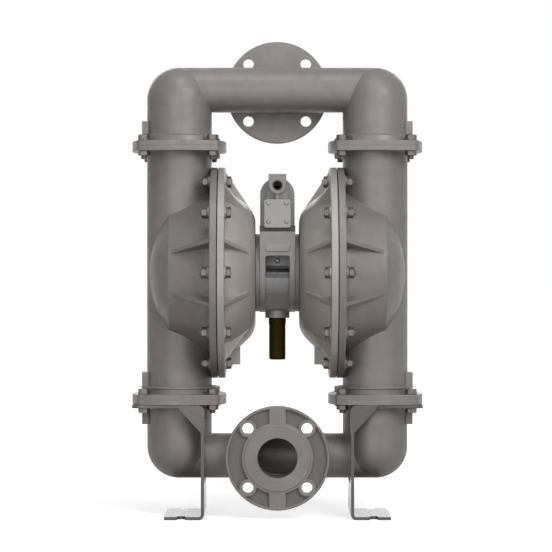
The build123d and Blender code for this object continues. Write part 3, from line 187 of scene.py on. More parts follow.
def settings():
    """The three property groups of the scene."""
    scene = bpy.context.scene
    return scene.pump_finish, scene.pump_hardware, scene.pump_stage


class Nodes:
    """Small helper that adds and joins shader nodes in one tree."""

    def __init__(self, tree):
        self.tree = tree

    def add(self, kind, values=None, **settings_of_node):
        """Add a node, set its attributes, then its inputs from values or from other sockets."""
        node = self.tree.nodes.new(kind)
        for key, value in settings_of_node.items():
            setattr(node, key, value)
        for key, value in (values or {}).items():
            socket = node.inputs[key]
            if isinstance(value, bpy.types.NodeSocket):
                self.tree.links.new(value, socket)
            else:
                socket.default_value = value
        return node

    def math(self, operation, first, second=0.0, clamp=False):
        """One Math node's result."""
        values = {0: first, 1: second}
        return self.add("ShaderNodeMath", values, operation=operation, use_clamp=clamp).outputs[0]

    def length(self, vector):
        """Length of a vector."""
        return self.add("ShaderNodeVectorMath", {0: vector}, operation="LENGTH").outputs["Value"]

    def scaled(self, vector, share_of):
        """Vector or colour times a value."""
        return self.add("ShaderNodeVectorMath", {0: vector, "Scale": share_of}, operation="SCALE").outputs[0]

    def mix(self, factor, first, second):
        """Blend of two colours."""
        values = {0: factor, 6: first, 7: second}
        return self.add("ShaderNodeMix", values, data_type="RGBA").outputs[2]

    def span(self, value, low, high, out_low=0.0, out_high=1.0):
        """Value mapped from one span to another, held inside it."""
        names = {"Value": value, "From Min": low, "From Max": high, "To Min": out_low, "To Max": out_high}
        return self.add("ShaderNodeMapRange", names).outputs[0]

    def noise(self, vector, scale, detail=3.0, rough=0.5):
        """Value of a noise texture."""
        values = {"Vector": vector, "Scale": scale, "Detail": detail, "Roughness": rough}
        return self.add("ShaderNodeTexNoise", values).outputs[0]


def shader_group(name, inputs, outputs):
    """New node group with named sockets, and its helper, group input and group output."""
    group = bpy.data.node_groups.new(name, "ShaderNodeTree")
    for socket, kind, default in inputs:
        item = group.interface.new_socket(socket, in_out="INPUT", socket_type=kind)
        if default is not None:
            item.default_value = default
    for socket, kind in outputs:
        group.interface.new_socket(socket, in_out="OUTPUT", socket_type=kind)
    nodes = Nodes(group)
    return nodes, nodes.add("NodeGroupInput"), nodes.add("NodeGroupOutput")


def rgba(values):
    """Colour with full alpha."""
    return (values[0], values[1], values[2], 1.0)


def times(tone, share_of, lift=0.0):
    """Tone times a share, plus a lift, held at 1."""
    return [min(1.0, channel * share_of + lift) for channel in tone]


def sand_cast_group():
    """Skin of a sand casting: dull patches, fine grain in the height, and roughness that follows both."""
    inputs = (
        ("Vector", "NodeSocketVector", None),
        ("Colour", "NodeSocketColor", (0.3, 0.3, 0.3, 1)),
        ("Dull Colour", "NodeSocketColor", (0.25, 0.25, 0.25, 1)),
        ("Roughness", "NodeSocketFloat", 0.5),
        ("Grain Scale", "NodeSocketFloat", 700.0),
    )
    outputs = (("Colour", "NodeSocketColor"), ("Roughness", "NodeSocketFloat"), ("Height", "NodeSocketFloat"))
    nodes, given, result = shader_group("Sand Cast", inputs, outputs)
    patches = nodes.span(nodes.noise(given.outputs["Vector"], 9.0, 4.0, 0.55), 0.36, 0.68)
    mottle = nodes.span(nodes.noise(given.outputs["Vector"], 55.0, 3.0), 0.35, 0.65)
    grain = nodes.noise(given.outputs["Vector"], given.outputs["Grain Scale"], 2.0, 0.6)
    pits = nodes.add("ShaderNodeTexVoronoi", {"Vector": given.outputs["Vector"], "Scale": 420.0})
    pit_depth = nodes.span(pits.outputs["Distance"], 0.0, 0.35)
    fine = nodes.math("MULTIPLY", mottle, 0.3)
    dull = nodes.math("ADD", nodes.math("MULTIPLY", patches, 0.7), fine, clamp=True)
    tint = nodes.mix(dull, given.outputs["Dull Colour"], given.outputs["Colour"])
    speck = nodes.span(grain, 0.3, 0.7, 0.94, 1.05)
    speckled = nodes.scaled(tint, speck)
    uneven = nodes.span(mottle, 0.0, 1.0, 0.05, -0.05)
    rough = nodes.math("ADD", given.outputs["Roughness"], uneven, clamp=True)
    height = nodes.math("ADD", nodes.math("MULTIPLY", grain, 0.7), nodes.math("MULTIPLY", pit_depth, 0.3))
    nodes.tree.links.new(speckled, result.inputs["Colour"])
    nodes.tree.links.new(rough, result.inputs["Roughness"])
    nodes.tree.links.new(height, result.inputs["Height"])
    return nodes.tree


def soft_edge_group():
    """Edges rounded in the normal, and a mask of them: how far the rounded normal leaves the face."""
    inputs = (("Radius", "NodeSocketFloat", 0.001), ("Breakup", "NodeSocketFloat", 0.5))
    outputs = (("Normal", "NodeSocketVector"), ("Edge", "NodeSocketFloat"))
    nodes, given, result = shader_group("Soft Edge", inputs, outputs)
    bevel = nodes.add("ShaderNodeBevel", {"Radius": given.outputs["Radius"]}, samples=6)
    face = nodes.add("ShaderNodeNewGeometry").outputs["Normal"]
    along = nodes.add("ShaderNodeVectorMath", {0: bevel.outputs[0], 1: face}, operation="DOT_PRODUCT")
    leaving = nodes.span(nodes.math("SUBTRACT", 1.0, along.outputs["Value"]), 0.02, 0.18)
    place = nodes.add("ShaderNodeTexCoord").outputs["Object"]
    breakup = nodes.span(nodes.noise(place, 130.0, 3.0, 0.7), 0.35, 0.6)
    worn = nodes.math("SUBTRACT", 1.0, nodes.math("MULTIPLY", given.outputs["Breakup"], breakup))
    nodes.tree.links.new(bevel.outputs[0], result.inputs["Normal"])
    nodes.tree.links.new(nodes.math("MULTIPLY", leaving, worn, clamp=True), result.inputs["Edge"])
    return nodes.tree


def turned_group():
    """Fine tool rings about one axis: a wave over the distance from that axis."""
    inputs = (
        ("Vector", "NodeSocketVector", None),
        ("Axis", "NodeSocketVector", (0, 1, 0)),
        ("Pitch", "NodeSocketFloat", 0.0008),
    )
    nodes, given, result = shader_group("Turned Rings", inputs, (("Height", "NodeSocketFloat"),))
    values = {0: given.outputs["Vector"], 1: given.outputs["Axis"]}
    across = nodes.add("ShaderNodeVectorMath", values, operation="CROSS_PRODUCT").outputs[0]
    turns = nodes.math("DIVIDE", nodes.length(across), given.outputs["Pitch"])
    wave = nodes.math("SINE", nodes.math("MULTIPLY", turns, 6.28318))
    nodes.tree.links.new(wave, result.inputs["Height"])
    return nodes.tree


def new_material(name):
    """Nodes of an empty material, with its principled shader and object coordinates."""
    material = bpy.data.materials.new(name)
    material.use_nodes = True
    material.node_tree.nodes.clear()
    nodes = Nodes(material.node_tree)
    shader = nodes.add("ShaderNodeBsdfPrincipled")
    output = nodes.add("ShaderNodeOutputMaterial")
    nodes.tree.links.new(shader.outputs[0], output.inputs[0])
    place = nodes.add("ShaderNodeTexCoord").outputs["Object"]
    return nodes, shader, place


def use_group(nodes, tree, values):
    """Place a node group in a material with its own values."""
    node = nodes.add("ShaderNodeGroup", node_tree=tree)
    for key, value in values.items():
        if isinstance(value, bpy.types.NodeSocket):
            nodes.tree.links.new(value, node.inputs[key])
        else:
            node.inputs[key].default_value = value
    return node


def pocket_shade_mask(nodes, outward, from_axis):
    """1 in the pockets behind a port face, where painted shade goes: between their two depths, and between
    the hub and the rim.
    """
    depth = nodes.math("MULTIPLY", nodes.span(outward, *POCKET_TOP), nodes.span(outward, *POCKET_BOTTOM))
    outside = nodes.math("MULTIPLY", depth, nodes.math("GREATER_THAN", from_axis, POCKET_RADII[0]))
    return nodes.math("MULTIPLY", outside, nodes.math("LESS_THAN", from_axis, POCKET_RADII[1]))


def cast_material(name, light, dull, metallic, roughness, groups, port=None, coat=0.0):
    """Casting with soft worn edges.

    Where port is given, the face beyond PORT_FACE has tool rings and the pockets behind it get painted shade.
    """
    finish = settings()[0]
    nodes, shader, place = new_material(name)
    skin_values = {"Vector": place, "Colour": rgba(light), "Dull Colour": rgba(dull), "Roughness": roughness}
    skin = use_group(nodes, groups["cast"], skin_values)
    edge = use_group(nodes, groups["edge"], {"Radius": finish.edge_radius, "Breakup": 0.6})
    worn = rgba(times(light, 1.35, 0.02))
    base = nodes.mix(nodes.math("MULTIPLY", edge.outputs["Edge"], 0.45), skin.outputs["Colour"], worn)
    height = skin.outputs["Height"]
    rough = skin.outputs["Roughness"]
    if port:
        way, centre = port
        centring = {"Vector": place, "Location": [-value for value in centre]}
        centred = nodes.add("ShaderNodeMapping", centring).outputs[0]
        rings = use_group(nodes, groups["turned"], {"Vector": centred, "Axis": (0, 1, 0)})
        outward = nodes.math("MULTIPLY", nodes.add("ShaderNodeSeparateXYZ", {0: place}).outputs["Y"], way)
        beyond = nodes.math("GREATER_THAN", outward, PORT_FACE)
        height = nodes.math("ADD", height, nodes.math("MULTIPLY", rings.outputs["Height"], beyond))
        rough = nodes.math("SUBTRACT", rough, nodes.math("MULTIPLY", beyond, 0.12), clamp=True)
        across = nodes.add("ShaderNodeVectorMath", {0: centred, 1: (1, 0, 1)}, operation="MULTIPLY")
        pocket_shade = pocket_shade_mask(nodes, outward, nodes.length(across.outputs[0]))
        # painted shade: the pockets are darkened towards a near-black tone, standing in for the shade that
        # falls in them
        base = nodes.mix(nodes.math("MULTIPLY", pocket_shade, POCKET_PAINTED_SHADE_SHARE), base, POCKET_PAINTED_SHADE_TONE)
    bump_values = {"Height": height, "Strength": 0.16, "Distance": 0.0004, "Normal": edge.outputs["Normal"]}
    bump = nodes.add("ShaderNodeBump", bump_values)
    nodes.tree.links.new(base, shader.inputs["Base Color"])
    nodes.tree.links.new(rough, shader.inputs["Roughness"])
    nodes.tree.links.new(bump.outputs[0], shader.inputs["Normal"])
    shader.inputs["Metallic"].default_value = metallic
    shader.inputs["Specular IOR Level"].default_value = 0.35
    if coat:
        shader.inputs["Coat Weight"].default_value = coat
        shader.inputs["Coat Roughness"].default_value = 0.12


def plated_material(name, tone, metallic, roughness, groups, streak=(1.0, 1.0, 1.0)):
    """Plated or ground steel: fine streaks stretched along one axis, with cloudy patches in the plating."""
    nodes, shader, place = new_material(name)
    stretched = nodes.add("ShaderNodeMapping", {"Vector": place, "Scale": streak}).outputs[0]
    lines = nodes.noise(stretched, 900.0, 2.0, 0.6)
    clouds = nodes.span(nodes.noise(place, 160.0, 3.0, 0.6), 0.3, 0.7, 0.82, 1.12)
    edge = use_group(nodes, groups["edge"], {"Radius": 0.0005, "Breakup": 0.3})
    worn = rgba(times(tone, 1.6, 0.05))
    base = nodes.mix(nodes.math("MULTIPLY", edge.outputs["Edge"], 0.5), nodes.scaled(tone[:3], clouds), worn)
    rough = nodes.span(lines, 0.3, 0.7, roughness - 0.07, roughness + 0.09)
    bump_values = {"Height": lines, "Strength": 0.12, "Distance": 0.0002, "Normal": edge.outputs["Normal"]}
    bump = nodes.add("ShaderNodeBump", bump_values)
    nodes.tree.links.new(base, shader.inputs["Base Color"])
    nodes.tree.links.new(rough, shader.inputs["Roughness"])
    nodes.tree.links.new(bump.outputs[0], shader.inputs["Normal"])
    shader.inputs["Metallic"].default_value = metallic


def moulded_material(name, tone, roughness, grain, depth, coat=0.0, specular=0.5):
    """Moulded rubber or plastic: an even colour with a slight cloud, and a fine grain in the height."""
    nodes, shader, place = new_material(name)
    clouds = nodes.span(nodes.noise(place, 40.0, 4.0, 0.6), 0.3, 0.7, 0.85, 1.15)
    skin = nodes.noise(place, grain, 2.0, 0.7)
    rough = nodes.span(skin, 0.3, 0.7, roughness - 0.05, roughness + 0.06)
    bump = nodes.add("ShaderNodeBump", {"Height": skin, "Strength": depth, "Distance": 0.0002})
    nodes.tree.links.new(nodes.scaled(tone[:3], clouds), shader.inputs["Base Color"])
    nodes.tree.links.new(rough, shader.inputs["Roughness"])
    nodes.tree.links.new(bump.outputs[0], shader.inputs["Normal"])
    shader.inputs["Coat Weight"].default_value = coat
    shader.inputs["Specular IOR Level"].default_value = specular


def pump_materials():
    """Every material of the pump by name, made once."""
    finish = settings()[0]
    if bpy.data.materials.get("Cast Metal"):
        return bpy.data.materials
    groups = {"cast": sand_cast_group(), "edge": soft_edge_group(), "turned": turned_group()}
    satin = {"metallic": finish.cast_metallic, "roughness": finish.cast_roughness, "groups": groups}
    cast_material("Cast Metal", finish.cast_colour, finish.cast_dark, **satin)
    cast_material("Inlet Casting", finish.cast_colour, finish.cast_dark, port=FRONT_PORT, **satin)
    cast_material("Discharge Casting", finish.cast_colour, finish.cast_dark, port=BACK_PORT, **satin)
    # painted light: lighter copy of the casting for the air chambers, standing in for the stronger light on
    # them
    cast_material("Air Casting Painted Light", finish.air_painted_light_colour, times(finish.air_painted_light_colour, 0.88), **satin)
    cast_material("Valve Casting", finish.valve_colour, times(finish.valve_colour, 0.86), **satin)
    milled = {"metallic": finish.cast_metallic, "roughness": 0.40, "groups": groups}
    cast_material("Cover Plate", finish.cover_colour, times(finish.cover_colour, 0.94), **milled)
    glossy = {"metallic": 0.15, "roughness": 0.28, "groups": groups, "coat": 0.4}
    cast_material("Stand Coat", finish.stand_colour, times(finish.stand_colour, 0.92), **glossy)
    for name, tone, metallic, roughness, streak in (
        ("Zinc Plate", finish.zinc_colour, 0.55, 0.38, (1.0, 1.0, 1.0)),
        ("Screw Steel", finish.screw_colour, 0.50, 0.34, (1.0, 1.0, 1.0)),
        ("Sleeve Steel", (0.062, 0.063, 0.066), 0.45, 0.34, (0.2, 1.0, 1.0)),
        ("Ground Steel", (0.46, 0.46, 0.47), 1.0, 0.18, (0.05, 1.0, 1.0)),
        ("Turned Steel", (0.36, 0.36, 0.37), 1.0, 0.30, (1.0, 1.0, 1.0)),
        ("Bronze", (0.36, 0.20, 0.08), 1.0, 0.30, (1.0, 1.0, 1.0)),
        ("Anodised", (0.33, 0.34, 0.36), 0.9, 0.25, (1.0, 1.0, 0.1)),
    ):
        plated_material(name, tone, metallic, roughness, groups, streak)
    moulded_material("Black Rubber", (0.020, 0.019, 0.018), roughness=0.62, grain=900.0, depth=0.25)
    moulded_material("White Plastic", (0.70, 0.69, 0.66), roughness=0.35, grain=300.0, depth=0.05, coat=0.1)
    moulded_material("Dark Plastic", (0.030, 0.026, 0.023), roughness=0.48, grain=1200.0, depth=0.2)
    skin = {"roughness": 0.50, "grain": 1500.0, "depth": 0.04, "specular": 0.06}
    moulded_material("Muffler Skin", finish.muffler_colour, **skin)
    return bpy.data.materials


def dress(names, material_name):
    """Give one material to each CAD node in the list."""
    material = pump_materials()[material_name]
    for name in names:
        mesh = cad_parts[name].data
        mesh.materials.clear()
        mesh.materials.append(material)


def grid_faces(rows, columns, offset=0):
    """Quads over a grid that closes on itself around, rows of points from start to end."""
    row, column = np.meshgrid(np.arange(rows - 1), np.arange(columns), indexing="ij")
    after = (column + 1) % columns
    low = row * columns + offset
    high = low + columns
    return np.stack([low + column, low + after, high + after, high + column], axis=-1).reshape(-1, 4)


def frames_of(axes):
    """Two unit vectors across each axis, so that local x, y and the axis are right handed."""
    axes = np.asarray(axes, float)
    helper = np.where(np.abs(axes[:, :1]) > 0.9, [[0.0, 0.0, 1.0]], [[1.0, 0.0, 0.0]])
    first = np.cross(helper, axes)
    first /= np.linalg.norm(first, axis=1, keepdims=True)
    return first, np.cross(axes, first)


def copies(local, centres, axes):
    """Local points placed at each centre with local z along each axis, as one array of copies."""
    centres = np.asarray(centres, float)
    axes = np.asarray(axes, float)
    first, second = frames_of(axes)
    basis = np.stack([first, second, axes], axis=1)
    return centres[:, None, :] + np.einsum("pk,nkj->npj", local, basis)


def surface_piece(name, grids, material_name, body="pump_body", smooth_angle=0.6):
    """One mesh object from closed grids of points (copies, rows, around, 3), each with poles at both ends."""
    points = []
    faces = []
    start = 0
    for grid in grids:
        for copy in grid:
            rows, around = copy.shape[:2]
            points.append(copy.reshape(-1, 3))
            faces.append(grid_faces(rows, around, start))
            start += rows * around
    mesh = bpy.data.meshes.new(name)
    mesh.from_pydata(np.concatenate(points).tolist(), [], np.concatenate(faces).tolist())
    mesh.materials.append(pump_materials()[material_name])
    piece = bpy.data.objects.new(name, mesh)
    bpy.context.scene.collection.objects.link(piece)
    weld_and_smooth(piece, smooth_angle)
    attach(piece, body)
    return piece


def weld_and_smooth(piece, smooth_angle):
    """Merge the points at poles and seams, point the faces outwards and smooth all but the sharp edges."""
    work = bmesh.new()
    work.from_mesh(piece.data)
    bmesh.ops.remove_doubles(work, verts=work.verts, dist=1e-7)
    bmesh.ops.recalc_face_normals(work, faces=work.faces)
    for face in work.faces:
        face.smooth = True
    for edge in work.edges:
        edge.smooth = len(edge.link_faces) == 2 and edge.calc_face_angle(0.0) < smooth_angle
    work.to_mesh(piece.data)
    work.free()


def lathe(profile, around=64):
    """Profile of (radius, height) points turned about z: x = r cos u, y = r sin u, z = h."""
    profile = np.asarray(profile, float)
    angle = np.linspace(0, 2 * np.pi, around, endpoint=False)
    ring = np.stack([np.cos(angle), np.sin(angle)], axis=-1)
    flat = profile[:, None, :1] * ring[None]
    height = np.broadcast_to(profile[:, None, 1:], flat.shape[:2] + (1,))
    return np.concatenate([flat, height], axis=-1)


def hex_profile(across, height, bore, around, chamfer_both):
    """Hex prism with turned corners.

    Around, the wall follows across / 2 / cos of the angle from the nearest flat. The turned cone starts at
    0.47 across from the axis and falls by 30 degrees, so it cuts each corner in an arc.
    """
    angle = np.linspace(0, 2 * np.pi, around, endpoint=False)
    from_flat = (angle + np.pi / 6) % (np.pi / 3) - np.pi / 6
    wall = across / 2 / np.cos(from_flat)
    cone = 0.47 * across
    fall = (wall - cone) * np.tan(np.radians(30))
    inner = np.full_like(wall, bore)
    face = np.full_like(wall, cone)
    foot = fall if chamfer_both else np.zeros_like(wall)
    base = face if chamfer_both else wall
    stations = [
        (inner, np.zeros_like(wall)),
        (base, np.zeros_like(wall)),
        (wall, foot),
        (wall, height - fall),
        (face, np.full_like(wall, height)),
        (inner, np.full_like(wall, height)),
        (inner, np.zeros_like(wall)),
    ]
    ring = np.stack([np.cos(angle), np.sin(angle)], axis=-1)
    rows = [np.column_stack([radius[:, None] * ring, level]) for radius, level in stations]
    return np.stack(rows)


def threaded_end(radius, low, high, pitch, around=24):
    """Bolt end with a real helix: the radius is a triangle wave of height less turn, fading at the tip."""
    steps = int((high - low) / pitch * 6) + 2
    height = np.linspace(low, high, steps)[:, None]
    angle = np.linspace(0, 2 * np.pi, around, endpoint=False)[None]
    phase = (height / pitch - angle / (2 * np.pi)) % 1.0
    crest = np.abs(phase - 0.5) * 2
    fade = np.clip((high - height) / (1.2 * pitch), 0, 1)
    wall = radius - 0.12 * pitch - 0.5 * pitch * (1 - crest) * 0.9 - (1 - fade) * 0.5 * pitch
    grid = np.stack([wall * np.cos(angle), wall * np.sin(angle), height + 0 * angle], axis=-1)
    centre_low = np.zeros((1, around, 3)) + [0, 0, low]
    centre_high = np.zeros((1, around, 3)) + [0, 0, high]
    return np.concatenate([centre_low, grid, centre_high])


def button_head(radius, height, socket, around=72):
    """Round screw head with a hex socket.

    From the rim the top rises as height times the root of 1 less the cubed share of the radius.
    The socket's wall follows socket / 2 / cos of the angle from the nearest flat.
    """
    angle = np.linspace(0, 2 * np.pi, around, endpoint=False)
    from_flat = (angle + np.pi / 6) % (np.pi / 3) - np.pi / 6
    wall = socket / 2 / np.cos(from_flat)
    even = np.ones_like(wall)
    stations = [(0 * wall, 0.08 * height * even), (wall, 0.08 * height * even), (wall, 0.90 * height * even)]
    for along in (0.62, 0.72, 0.82, 0.90, 0.96, 0.99):
        stations.append((along * radius * even, height * np.sqrt(1 - along**3) * even))
    stations += [(radius * even, 0.05 * height * even), (radius * even, 0 * even), (0 * even, 0 * even)]
    ring = np.stack([np.cos(angle), np.sin(angle)], axis=-1)
    return np.stack([np.column_stack([reach[:, None] * ring, level]) for reach, level in stations])


def threaded_mouth(radius, depth, pitch, around=96):
    """Tapered inside thread: a cone that narrows inwards, with a triangle wave of depth less turn on it."""
    height = np.linspace(0, depth, int(depth / pitch * 8))[:, None]
    angle = np.linspace(0, 2 * np.pi, around, endpoint=False)[None]
    phase = (height / pitch + angle / (2 * np.pi)) % 1.0
    crest = np.abs(phase - 0.5) * 2
    wall = radius * (0.97 - 0.26 * height / depth) - 0.42 * pitch * crest
    inside = np.stack([wall * np.cos(angle), wall * np.sin(angle), height + 0 * angle], axis=-1)
    back = lathe([(radius, depth), (radius, 0.0)], around)
    return np.concatenate([inside, back, inside[:1]])


def washer_ring(bore, outer, thickness, around=48):
    """Flat ring with broken edges, as a closed lathe profile."""
    soft = thickness * 0.22
    profile = [
        (bore, soft),
        (bore + soft, 0),
        (outer - soft, 0),
        (outer, soft),
        (outer, thickness - soft),
        (outer - soft, thickness),
        (bore + soft, thickness),
        (bore, thickness - soft),
        (bore, soft),
    ]
    return lathe(profile, around)


def place_grid(grid, centres, axes):
    """Copies of one grid at the centres, local z along the axes."""
    rows, around = grid.shape[:2]
    return copies(grid.reshape(-1, 3), centres, axes).reshape(-1, rows, around, 3)


def disc_places(x):
    """Centres of the disc bolts at one x, from the bolt circle and its uneven angles."""
    front = np.radians(DISC_BOLT_ANGLES)
    angle = np.concatenate([front, np.pi - front])
    y = -DISC_BOLT_CIRCLE * np.cos(angle)
    return np.column_stack([np.full(angle.size, x), y, SHAFT_Z + DISC_BOLT_CIRCLE * np.sin(angle)])


def joint_places(z, outer=None):
    """Centres of the square joints' bolts at one height, all of them or only the outer or inner ones."""
    found = []
    for tube in (-TUBE_X, TUBE_X):
        for i in (-1, 1):
            for j in (-1, 1):
                x = tube + i * JOINT_BOLT_OFFSET
                if outer is None or outer == (abs(x) > TUBE_X):
                    found.append((x, j * JOINT_BOLT_OFFSET, z))
    return np.array(found)


class PUMP_OT_castings(bpy.types.Operator):
    """Give the castings, gaskets, running gear and valves their finishes"""

    bl_idname = "pump.castings"
    bl_label = "Finish Castings and Inner Parts"

    def execute(self, context):
        dress(["left_liquid_chamber", "right_liquid_chamber"], "Cast Metal")
        dress(["left_air_chamber", "right_air_chamber"], "Air Casting Painted Light")
        dress(["inlet_manifold"], "Inlet Casting")
        dress(["discharge_manifold"], "Discharge Casting")
        dress(["left_stand", "right_stand"], "Stand Coat")
        dress(["air_valve_base"], "Dark Plastic")
        dress(["centre_block", "air_valve_body"], "Valve Casting")
        dress(["air_valve_cover"], "Cover Plate")
        dress(["main_shaft", "pilot_spool", "left_disc_spring", "right_disc_spring"], "Ground Steel")
        dress(["air_valve_spool"], "Anodised")
        dress(["pilot_sleeve"], "Sleeve Steel")
        dress(["left_shaft_bushing", "right_shaft_bushing"], "Bronze")
        dress(["hub_screws", "air_valve_screws"], "Zinc Plate")
        rubber = ["air_valve_gasket"]
        for side in SIDES:
            rubber += [f"{side}_hub_gasket", f"{side}_shaft_seal"]
            dress([f"{side}_inner_piston", f"{side}_outer_piston"], "Turned Steel")
            for port in ("inlet", "discharge"):
                rubber.append(f"{side}_{port}_seat_seal")
                dress([f"{side}_{port}_seat"], "Turned Steel")
                dress([f"{side}_{port}_ball"], "White Plastic")
        dress(rubber, "Black Rubber")
        return {"FINISHED"}


def flat_cut(work, point, normal, **choices):
    """Cut a whole mesh by the plane through a point."""
    everything = work.verts[:] + work.edges[:] + work.faces[:]
    return bmesh.ops.bisect_plane(work, geom=everything, plane_co=point, plane_no=normal, **choices)


def diaphragm_wedge(source, name, turn, half, piston):
    """One wedge of a diaphragm, cut from its solid between two planes through the shaft axis.

    Flat cuts across the wedge give it rows of points between the piston and the clamped rim.
    """
    work = bmesh.new()
    work.from_mesh(source)
    bmesh.ops.remove_doubles(work, verts=work.verts, dist=1e-6)
    centre = Vector((0, 0, SHAFT_Z))
    for edge_turn, way in ((turn - half, 1.0), (turn + half, -1.0)):
        inward = Vector((0, -np.sin(edge_turn) * way, np.cos(edge_turn) * way))
        cut = flat_cut(work, centre, inward, clear_inner=True)
        border = [item for item in cut["geom_cut"] if isinstance(item, bmesh.types.BMEdge)]
        bmesh.ops.triangle_fill(work, use_beauty=True, edges=border)
    along = Vector((0, np.cos(turn), np.sin(turn)))
    for radius in np.linspace(piston, CLAMP_RADIUS, BEND_ROWS):
        flat_cut(work, centre + along * radius, along)
    bmesh.ops.recalc_face_normals(work, faces=work.faces)
    mesh = bpy.data.meshes.new(name)
    work.to_mesh(mesh)
    work.free()
    mesh.materials.append(pump_materials()["Black Rubber"])
    piece = bpy.data.objects.new(name, mesh)
    bpy.context.scene.collection.objects.link(piece)
    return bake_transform(piece)


class PUMP_OT_diaphragms(bpy.types.Operator):
    """Replace the diaphragms with wedges cut in rows between the clamped rim and the pistons"""

    bl_idname = "pump.diaphragms"
    bl_label = "Bending Diaphragms"

    def execute(self, context):
        half = np.pi / WEDGES
        for side in SIDES:
            low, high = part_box(f"{side}_outer_piston")
            piston = (high.z - low.z) / 2
            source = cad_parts[f"{side}_diaphragm"].data
            for number in range(WEDGES):
                turn = (2 * number + 1) * half
                piece = diaphragm_wedge(source, f"{side}_diaphragm_{number + 1}", turn, half, piston)
                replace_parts(piece, f"{side}_diaphragm")
        return {"FINISHED"}


class PUMP_OT_disc_hardware(bpy.types.Operator):
    """Replace the disc bolts, nuts and washers with turned and threaded ones"""

    bl_idname = "pump.disc_hardware"
    bl_label = "Disc Bolts, Nuts and Washers"

    def execute(self, context):
        size = settings()[1]
        head = hex_profile(size.disc_across, size.disc_head, 0.0, size.around, False)
        nut = hex_profile(size.disc_across, size.disc_nut, size.disc_thread + 0.0001, size.around, True)
        ring = washer_ring(size.disc_thread + 0.0002, DISC_WASHER, WASHER_THICKNESS)
        for side, way in SIDES.items():
            bolts_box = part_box(f"{side}_chamber_bolts")
            nuts_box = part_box(f"{side}_chamber_nuts")
            near = min(abs(bolts_box[0].x), abs(bolts_box[1].x))
            tip = max(abs(bolts_box[0].x), abs(bolts_box[1].x))
            nut_start = min(abs(nuts_box[0].x), abs(nuts_box[1].x))
            head_seat = near + size.disc_head
            inward = np.tile([-way, 0.0, 0.0], (10, 1))
            heads = place_grid(head, disc_places(way * head_seat), inward)
            shank = threaded_end(size.disc_thread, 0.0, tip - head_seat, size.pitch)
            shanks = place_grid(shank, disc_places(way * head_seat), -inward)
            bolts = surface_piece(f"{side}_disc_bolts", [heads, shanks], "Zinc Plate")
            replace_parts(bolts, f"{side}_chamber_bolts")
            nuts = place_grid(nut, disc_places(way * nut_start), -inward)
            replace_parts(surface_piece(f"{side}_disc_nuts", [nuts], "Zinc Plate"), f"{side}_chamber_nuts")
            head_rings = place_grid(ring, disc_places(way * head_seat), -inward)
            nut_rings = place_grid(ring, disc_places(way * nut_start), inward)
            rings = surface_piece(f"{side}_disc_washers", [head_rings, nut_rings], "Zinc Plate")
            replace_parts(rings, f"{side}_chamber_washers")
        return {"FINISHED"}


class PUMP_OT_joint_hardware(bpy.types.Operator):
    """Replace the square joints' bolts, nuts and washers with turned and threaded ones"""

    bl_idname = "pump.joint_hardware"
    bl_label = "Joint Bolts, Nuts and Washers"

    def execute(self, context):
        size = settings()[1]
        up = np.tile([0.0, 0.0, 1.0], (8, 1))
        head = hex_profile(size.joint_across, size.joint_head, 0.0, size.around, False)
        nut = hex_profile(size.joint_across, size.joint_nut, size.joint_thread + 0.0001, size.around, True)
        rings = []
        for level in ("upper", "lower"):
            bolts_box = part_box(f"{level}_joint_bolts")
            nuts_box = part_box(f"{level}_joint_nuts")
            seat = bolts_box[1].z - size.joint_head
            heads = place_grid(head, joint_places(seat), up)
            shank = threaded_end(size.joint_thread, 0.0, seat - bolts_box[0].z, size.pitch)
            shanks = place_grid(shank, joint_places(seat), -up)
            bolts = surface_piece(f"{level}_square_bolts", [heads, shanks], "Zinc Plate")
            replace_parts(bolts, f"{level}_joint_bolts")
            inner_seat = nuts_box[1].z
            outer_seat = nuts_box[0].z + size.joint_nut
            inner = place_grid(nut, joint_places(inner_seat, outer=False), -up[:4])
            outer = place_grid(nut, joint_places(outer_seat, outer=True), -up[:4])
            nuts = surface_piece(f"{level}_square_nuts", [inner, outer], "Zinc Plate")
            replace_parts(nuts, f"{level}_joint_nuts")
            ring = washer_ring(size.joint_thread + 0.0002, JOINT_WASHER, WASHER_THICKNESS)
            rings.append(place_grid(ring, joint_places(seat), -up))
        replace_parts(surface_piece("square_washers", rings, "Zinc Plate"), "joint_washers")
        return {"FINISHED"}


class PUMP_OT_screws(bpy.types.Operator):
    """Replace the cover's and the window's screws with button heads, and cut the thread of the air inlet"""

    bl_idname = "pump.screws"
    bl_label = "Button Screws and Air Inlet Thread"

    def execute(self, context):
        for node, (radius, height, socket) in (("cover_screws", COVER_SCREW), ("window_screw", WINDOW_SCREW)):
            low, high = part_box(node)
            sides = sorted({round(low.x + radius, 5), round(high.x - radius, 5)})
            levels = sorted({round(low.z + radius, 5), round(high.z - radius, 5)})
            seat = low.y + height
            places = np.array([(x, seat, z) for x in sides for z in levels])
            front = np.tile([0.0, -1.0, 0.0], (len(places), 1))
            heads = place_grid(button_head(radius, height, socket), places, front)
            shanks = place_grid(threaded_end(SCREW_SHANK, 0.0, high.y - seat, SCREW_PITCH), places, -front)
            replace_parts(surface_piece(f"{node}_turned", [heads, shanks], "Screw Steel"), node)
        thread = place_grid(threaded_mouth(*INLET_THREAD), np.array([INLET]), np.array([[0.0, 1.0, 0.0]]))
        surface_piece("inlet_thread", [thread], "Valve Casting", smooth_angle=0.9)
        return {"FINISHED"}


